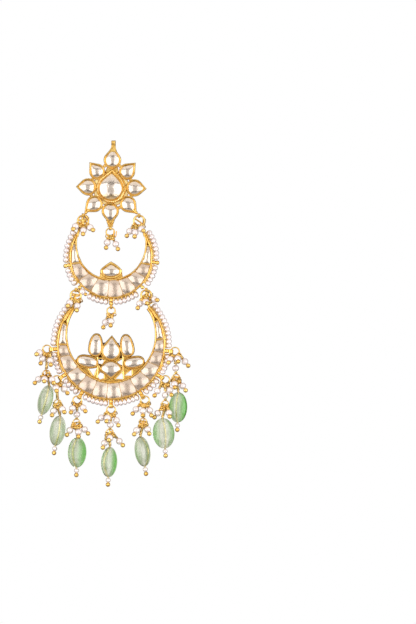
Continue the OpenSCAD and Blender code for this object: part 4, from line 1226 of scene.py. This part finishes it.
# %% Clusters
CLUSTERS = {
    "stud": ("stud", ((STUD_RING, ((-24, -12, 8, 2.1), (26, 24, 5, 2.8))),)),
    "upper": ("upper_crescent", (
        (UPPER_RINGS[0], ((-64, -40, 50, 2.1), (8, -4, 48, 2.1), (44, 50, 45, 2.1))),
        (UPPER_RINGS[1], ((-60, -32, 5, 2.9), (-32, -8, 38, 2.9), (-10, 48, 60, 2.9))))),
    "middle": ("upper_crescent", ((MIDDLE_RING, ((-34, -23, 5, 2.8), (14, -7, 40, 2.7))),)),
    "lower": ("lower_crescent", (
        (LOWER_RINGS[0], ((-48, -29, 49, 2.1), (24, -6, 35, 2.2))),
        (LOWER_RINGS[1], ((-54, -24, 30, 2.1), (-30, 46, 70, 2.8), (52, 78, 55, 2.2)))))}
TANGLES = {UPPER_RINGS[0]: 14, UPPER_RINGS[1]: 3, LOWER_RINGS[0]: 6, LOWER_RINGS[1]: 10}
STRAY_ENDS = ([(0.75, -1.75, -15.2), (0.8, -1.9, -14.4), (0.86, -1.85, -13.5)],
              [(1.2, -1.7, -15.5), (1.55, -1.9, -14.9), (1.7, -1.85, -13.5)])
for name, (body, groups) in CLUSTERS.items():
    pins, pearls, rng = Heap(), Heap(), random.Random(name)
    for ring, rows in groups:
        hinge = ring in TANGLES
        for pin in rows:
            head_pin(pins, ring, pin, LOOP_R)
            pin_pearl(pearls, ring, pin, rng)
        fan(pins, ring, rows)
        places = [pin[0] for pin in rows]
        wrapped(pins, ring, min(places) - 8, max(places) + 8)
        loose_loops(pins, ring, rng, *((7, 0.85) if hinge else (3, 0.6)))
        if hinge:
            wrapped(pins, ring, *((105, 170) if ring[0] < 0 else (60, 110)), 0.42, 0.17, 0.42)
            tangle(pins, ring, rng, TANGLES[ring])
    for path in STRAY_ENDS if name == "stud" else ():
        # Painted shade makes these two ends dark.
        tube(pins, path, 0.16, deep=0.9)
    pins.become(f"{name}_wound_pins", GOLD, body, f"{name}_pins")
    pearls.become(f"{name}_round_pearls", PEARL, body, f"{name}_pearls")
tell(8)

# %% [markdown]
# ## Jump rings and the post
# A jump ring is round wire bent to a circle. It never closes quite true, so each
# one gets a slight wobble and a seam where its ends meet. The post behind the
# flower is plain, so the CAD solid stays and takes the gold.

# %% Jump rings, and gold on the post
HINGE_WIRE, RING_WIRE = 0.29, 0.22


def circle_wire(heap, ring, wire):
    """A ring with a gap at its top, and a slightly thicker seam over the gap."""
    for turn, r in ((between(8, 352, 39), wire), (between(-9, 9, 3), wire * 1.02)):
        path = [(ring[0] + ring[2] * math.sin(a), RING_Y, ring[1] + ring[2] * math.cos(a))
                for a in map(math.radians, turn)]
        tube(heap, path, r, 10, side=(0, 1, 0))


for name, body, ring in (("stud_ring", "stud", STUD_RING), ("upper_ring_left", "upper_crescent", UPPER_RINGS[0]),
                         ("upper_ring_right", "upper_crescent", UPPER_RINGS[1]),
                         ("middle_ring", "upper_crescent", MIDDLE_RING),
                         ("lower_ring_left", "lower_crescent", LOWER_RINGS[0]),
                         ("lower_ring_right", "lower_crescent", LOWER_RINGS[1])):
    h = Heap()
    circle_wire(h, ring, HINGE_WIRE if ring in TANGLES else RING_WIRE)
    h.wobble(0.04, 1.6)
    h.become(f"{name}_bent_wire", GOLD, body, name)
post = bpy.data.objects["ear_post"]
if not post.data.materials:
    post.data.materials.append(None)
for place in post.material_slots:
    place.link = "OBJECT"
    place.material = GOLD[0]
tell(6)

# %% [markdown]
# ## The seven drops
# From each lug hangs a jump ring with a cluster, then a wound link with a second
# cluster, then a flattened green bead with a small pearl and a gold ball below.
# Each of these has its own place in the photograph, so the table lists them one
# by one, as the CAD source does.

# %% Drops
# x and z of the link, how far below the ring a pearl on the link's wire hangs, or 0 where there is none, x and z
# of the bead, its lean, its turn about its own length, and the place of its wire on the link
Drop = namedtuple("Drop", "x z pearl bead_x bead_z lean turn place")
DROPS = [Drop(*row) for row in (
    (-20.2, -58.0, 0, -20.5, -66.2, -15, 100, 14), (-16.7, -67.2, 0, -16.7, -75.8, -9, 70, 0),
    (-10.8, -73.3, 3.05, -10.6, -82.6, -2, 45, -14), (-0.4, -76.4, 3.3, -0.6, -85.6, -3, 65, -8),
    (10.0, -73.0, 0, 9.8, -82.3, 9, 70, 0), (16.9, -67.5, 3.4, 16.4, -76.6, 5, 0, 0),
    (20.3, -59.2, 3.8, 20.9, -68.5, -2, -45, 0))]
RING_PINS = (((-74, -60, 55, 2.1), (-34, -20, 25, 2.1), (34, 8, 40, 3.1)),
             ((-31, 18, 54, 2.3), (36, 40, 10, 2.3)),
             ((-42, -20, 40, 2.1), (42, 36, 40, 2.1)),
             ((-68, -43, 5, 2.6), (-34, -15, 50, 2.1), (36, 22, 5, 2.3)),
             ((-58, -38, 5, 2.7), (-28, 0, 35, 2.6), (36, 19, 10, 2.2)),
             ((-44, -32, 5, 2.9), (36, 18, 20, 2.3)),
             ((28, 12, 60, 2.1), (62, 38, 5, 3.1), (-36, -28, 48, 2.2)))
LINK_PINS = (((-68, -46, 20, 2.1), (-26, -3, 70, 2.2), (62, 31, 48, 2.4)),
             ((-42, -18, 36, 2.1), (44, 36, 50, 2.1)),
             ((-60, -32, 10, 2.2), (26, 4, 38, 2.5), (66, 42, 10, 2.3)),
             ((-50, -18, 28, 3.0), (28, -32, 67, 2.1), (68, 41, 5, 3.0)),
             ((-48, -32, 30, 2.6), (44, 22, 33, 2.1)),
             ((-46, -37, -14, 2.7), (44, 12, 47, 2.9)),
             ((-44, 10, 52, 2.1), (46, 34, 10, 2.3)))
BEAD_L, BEAD_W, BEAD_T, TAIL_R, LINK_R, DROP_RING_R = 9.5, 6.8, 4.6, 0.8, 1.1, 1.35
HALF = BEAD_L / 2
LINE_BOW, LINE_FRONT, LINE_R, TAIL_WIRE = (0.2, 0.4, -1.35, -1.4, 1.7, 0.6, -0.5), 1.3, 0.29, 0.13


def lean_and_span(ring, place, point):
    x, z = spot(ring, ring[2], place)
    return math.degrees(math.atan2(point[0] - x, z - point[1])), math.dist((x, z), point)


def at_bead(drop):
    """Puts a point of a bead, drawn upright at the origin, where the bead hangs."""
    c, s = compass(drop.lean)

    def at(x, y, z):
        return Vector((drop.bead_x + x * c - z * s, RING_Y + y, drop.bead_z + x * s + z * c))
    return at


def wound_wire(heap, ring, place, loop_r, point, stop):
    """The wire from a ring to a point below: its loops and its straight core."""
    lean, length = lean_and_span(ring, place, point)
    at = on_ring(ring, place, lean, 0)
    loops(heap, at, loop_r)
    tube(heap, [at(0, 0, -loop_r), at(0, 0, -(length - stop))], CORE)
    return at, length


def bead_wires(h, i, bead, foot, up):
    """The washer on a bead, the line through it, and the pin and ball below it."""
    hoop(h, bead(0, 0, HALF + 0.02), up, 0.1, 0.42, 0.22, 14, deep=0.2)
    line = []
    for k in range(13):
        bow = math.sin(math.pi * k / 12)
        line.append(bead(LINE_BOW[i] * bow, -LINE_FRONT * bow ** 0.6, HALF + 0.15 - (BEAD_L + 0.25) * k / 12))
    # The line's pale gold is a painted highlight.
    tube(h, line, LINE_R, 10, edge=1.0)
    tube(h, [bead(0, 0, -HALF), bead(0, 0, -HALF - 1), bead(0, 0, -foot)], TAIL_WIRE)
    ball(h, bead(0, 0, -foot + 0.12), BALL_R + 0.12, up, 1.0, 20, 12, deep=0.06)


def hang_drop(i):
    """One drop but for its bead: a mesh of gold wires and a mesh of pearls."""
    drop, a = DROPS[i], LOWER_LUGS[i]
    r = rim(LOWER, 2, a) + LUG_OUT + DROP_RING_R
    ring, link = (*spot(LOWER.centre, r, a), DROP_RING_R), (drop.x, drop.z, LINK_R)
    clusters = ((ring, RING_PINS[i], LOOP_R, 0.21, 0.38), (link, LINK_PINS[i], LINK_LOOP_R, 0.18, 0.36))
    h = Heap()
    for held, _, _, wire, _ in clusters:
        circle_wire(h, held, wire)
    for held, rows, _, _, wrap_r in clusters:
        places = [row[0] for row in rows]
        wrapped(h, held, min(places), max(places), wrap_r, 0.12)
    for held in (ring, link):
        loose_loops(h, held, random.Random(70 + i), 7, 0.62)
    wrapped(h, link, -100, 100, 0.32, 0.12, 0.26)
    tangle(h, link, random.Random(90 + i), 5, 0.9, 0.18)
    for held, rows, *_ in clusters:
        fan(h, held, rows)
    wrapped(h, ring, -80, 80, 0.34, 0.12, 0.28)
    for held, rows, loop_r, *_ in clusters:
        for pin in rows:
            head_pin(h, held, pin, loop_r)
    at, length = wound_wire(h, ring, 0, LOOP_R, link[:2], LINK_R)
    # The long wires of the drop carry the most painted highlight.
    if drop.pearl:
        winding(h, at, LOOP_R + 0.02, drop.pearl - PEARL_R - PIN_GAP, painted_highlight=1.0)
        winding(h, at, drop.pearl + PEARL_R + PIN_GAP, length - LINK_R - 0.2, painted_highlight=1.0)
    else:
        winding(h, at, LOOP_R + 0.02, length - LINK_R - 0.3, painted_highlight=1.0)
    bead = at_bead(drop)
    top, up = bead(0, 0, HALF + 0.15), bead(0, 0, 1) - bead(0, 0, 0)
    at, length = wound_wire(h, link, drop.place, LINK_LOOP_R, (top.x, top.z), 0)
    winding(h, at, LINK_LOOP_R + 0.02, length - 0.2, painted_highlight=1.0)
    bead_wires(h, i, bead, HALF + 2 * TAIL_R + 2 * PIN_GAP + BALL_R, up)
    h.become(f"drop_{i + 1}_wound_wires", GOLD, "lower_crescent", f"drop_wires_{i + 1}")
    h, rng = Heap(), random.Random(40 + i)
    for held, rows, *_ in clusters:
        for pin in rows:
            pin_pearl(h, held, pin, rng)
    if drop.pearl:
        pin_pearl(h, ring, (0, lean_and_span(ring, 0, link[:2])[0], 0, drop.pearl), rng)
    ball(h, bead(0, 0, -(HALF + PIN_GAP + TAIL_R)), TAIL_R, up, 0.95, 22, 14, drilled=True, tone=0.2)
    h.become(f"drop_{i + 1}_round_pearls", PEARL, "lower_crescent", f"drop_pearls_{i + 1}")


print("pins on the drops:", sum(len(rows) for rows in RING_PINS + LINK_PINS))

# %% [markdown]
# ## The green beads
# Each bead is a flattened oval with a hole from end to end. Seen through the
# glass, the gold pin in the hole looks like a thin yellow line, bowed to one
# side; a painted highlight makes that line pale and bright. The glass is painted
# a brighter green towards its sides, painted light for how the light falls on
# them, and each bead has its own share of that on the left and on the right.

# %% Green beads, and all seven drops
BEAD_PAINTED_SIDE_LIGHT = ((0.2, 0.9, 0.6), (0.2, 0.7, 0.6), (-0.1, 1.0, 0.2), (0.1, 2.0, 0.15), (0.3, 0.6, 0.7), (0.3, 0.7, 0.8),
              (0.0, 1.3, 1.2))
BEAD_ROWS, BEAD_ROUND, BEAD_END, SIDE_WIDTH = 64, 90, 86, 3.0


def painted_side_light(x, sides):
    """How much painted light the glass has, as a brighter green: it grows to the right of a start, and to the left,
    each by its own share.
    """
    start, right, left = sides
    return min(1.0, max(0.0, (x - start) * right, (-x - 0.25) * left))


def green_bead(i):
    drop, h, rings = DROPS[i], Heap(), []
    bead, (turn_c, turn_s) = at_bead(drop), compass(drop.turn)
    for b in map(math.radians, between(BEAD_END, -BEAD_END, BEAD_ROWS)):
        z = HALF / math.sin(math.radians(BEAD_END)) * math.sin(b)
        rings.append([])
        for c, s in around(BEAD_ROUND):
            x, y = BEAD_W / 2 * math.cos(b) * c, BEAD_T / 2 * math.cos(b) * s
            rings[-1].append(bead(x * turn_c - y * turn_s, x * turn_s + y * turn_c, z))
    h.loft(rings)
    slant = math.sin(math.radians(-drop.lean))
    # Painted light: a brighter green towards the sides of the bead.
    h.notes["edge"] = [painted_side_light((x - drop.bead_x - (z - drop.bead_z) * slant) / SIDE_WIDTH, BEAD_PAINTED_SIDE_LIGHT[i])
                       for x, _, z in h.points]
    h.become(f"green_bead_polished_{i + 1}", GREEN, "lower_crescent", f"green_bead_{i + 1}")


for i in range(7):
    hang_drop(i)
    green_bead(i)
tell(3)
print(len(made), "pieces,", sum(n for _, n in made), "triangles, most in one:", max(made, key=lambda m: m[1]))
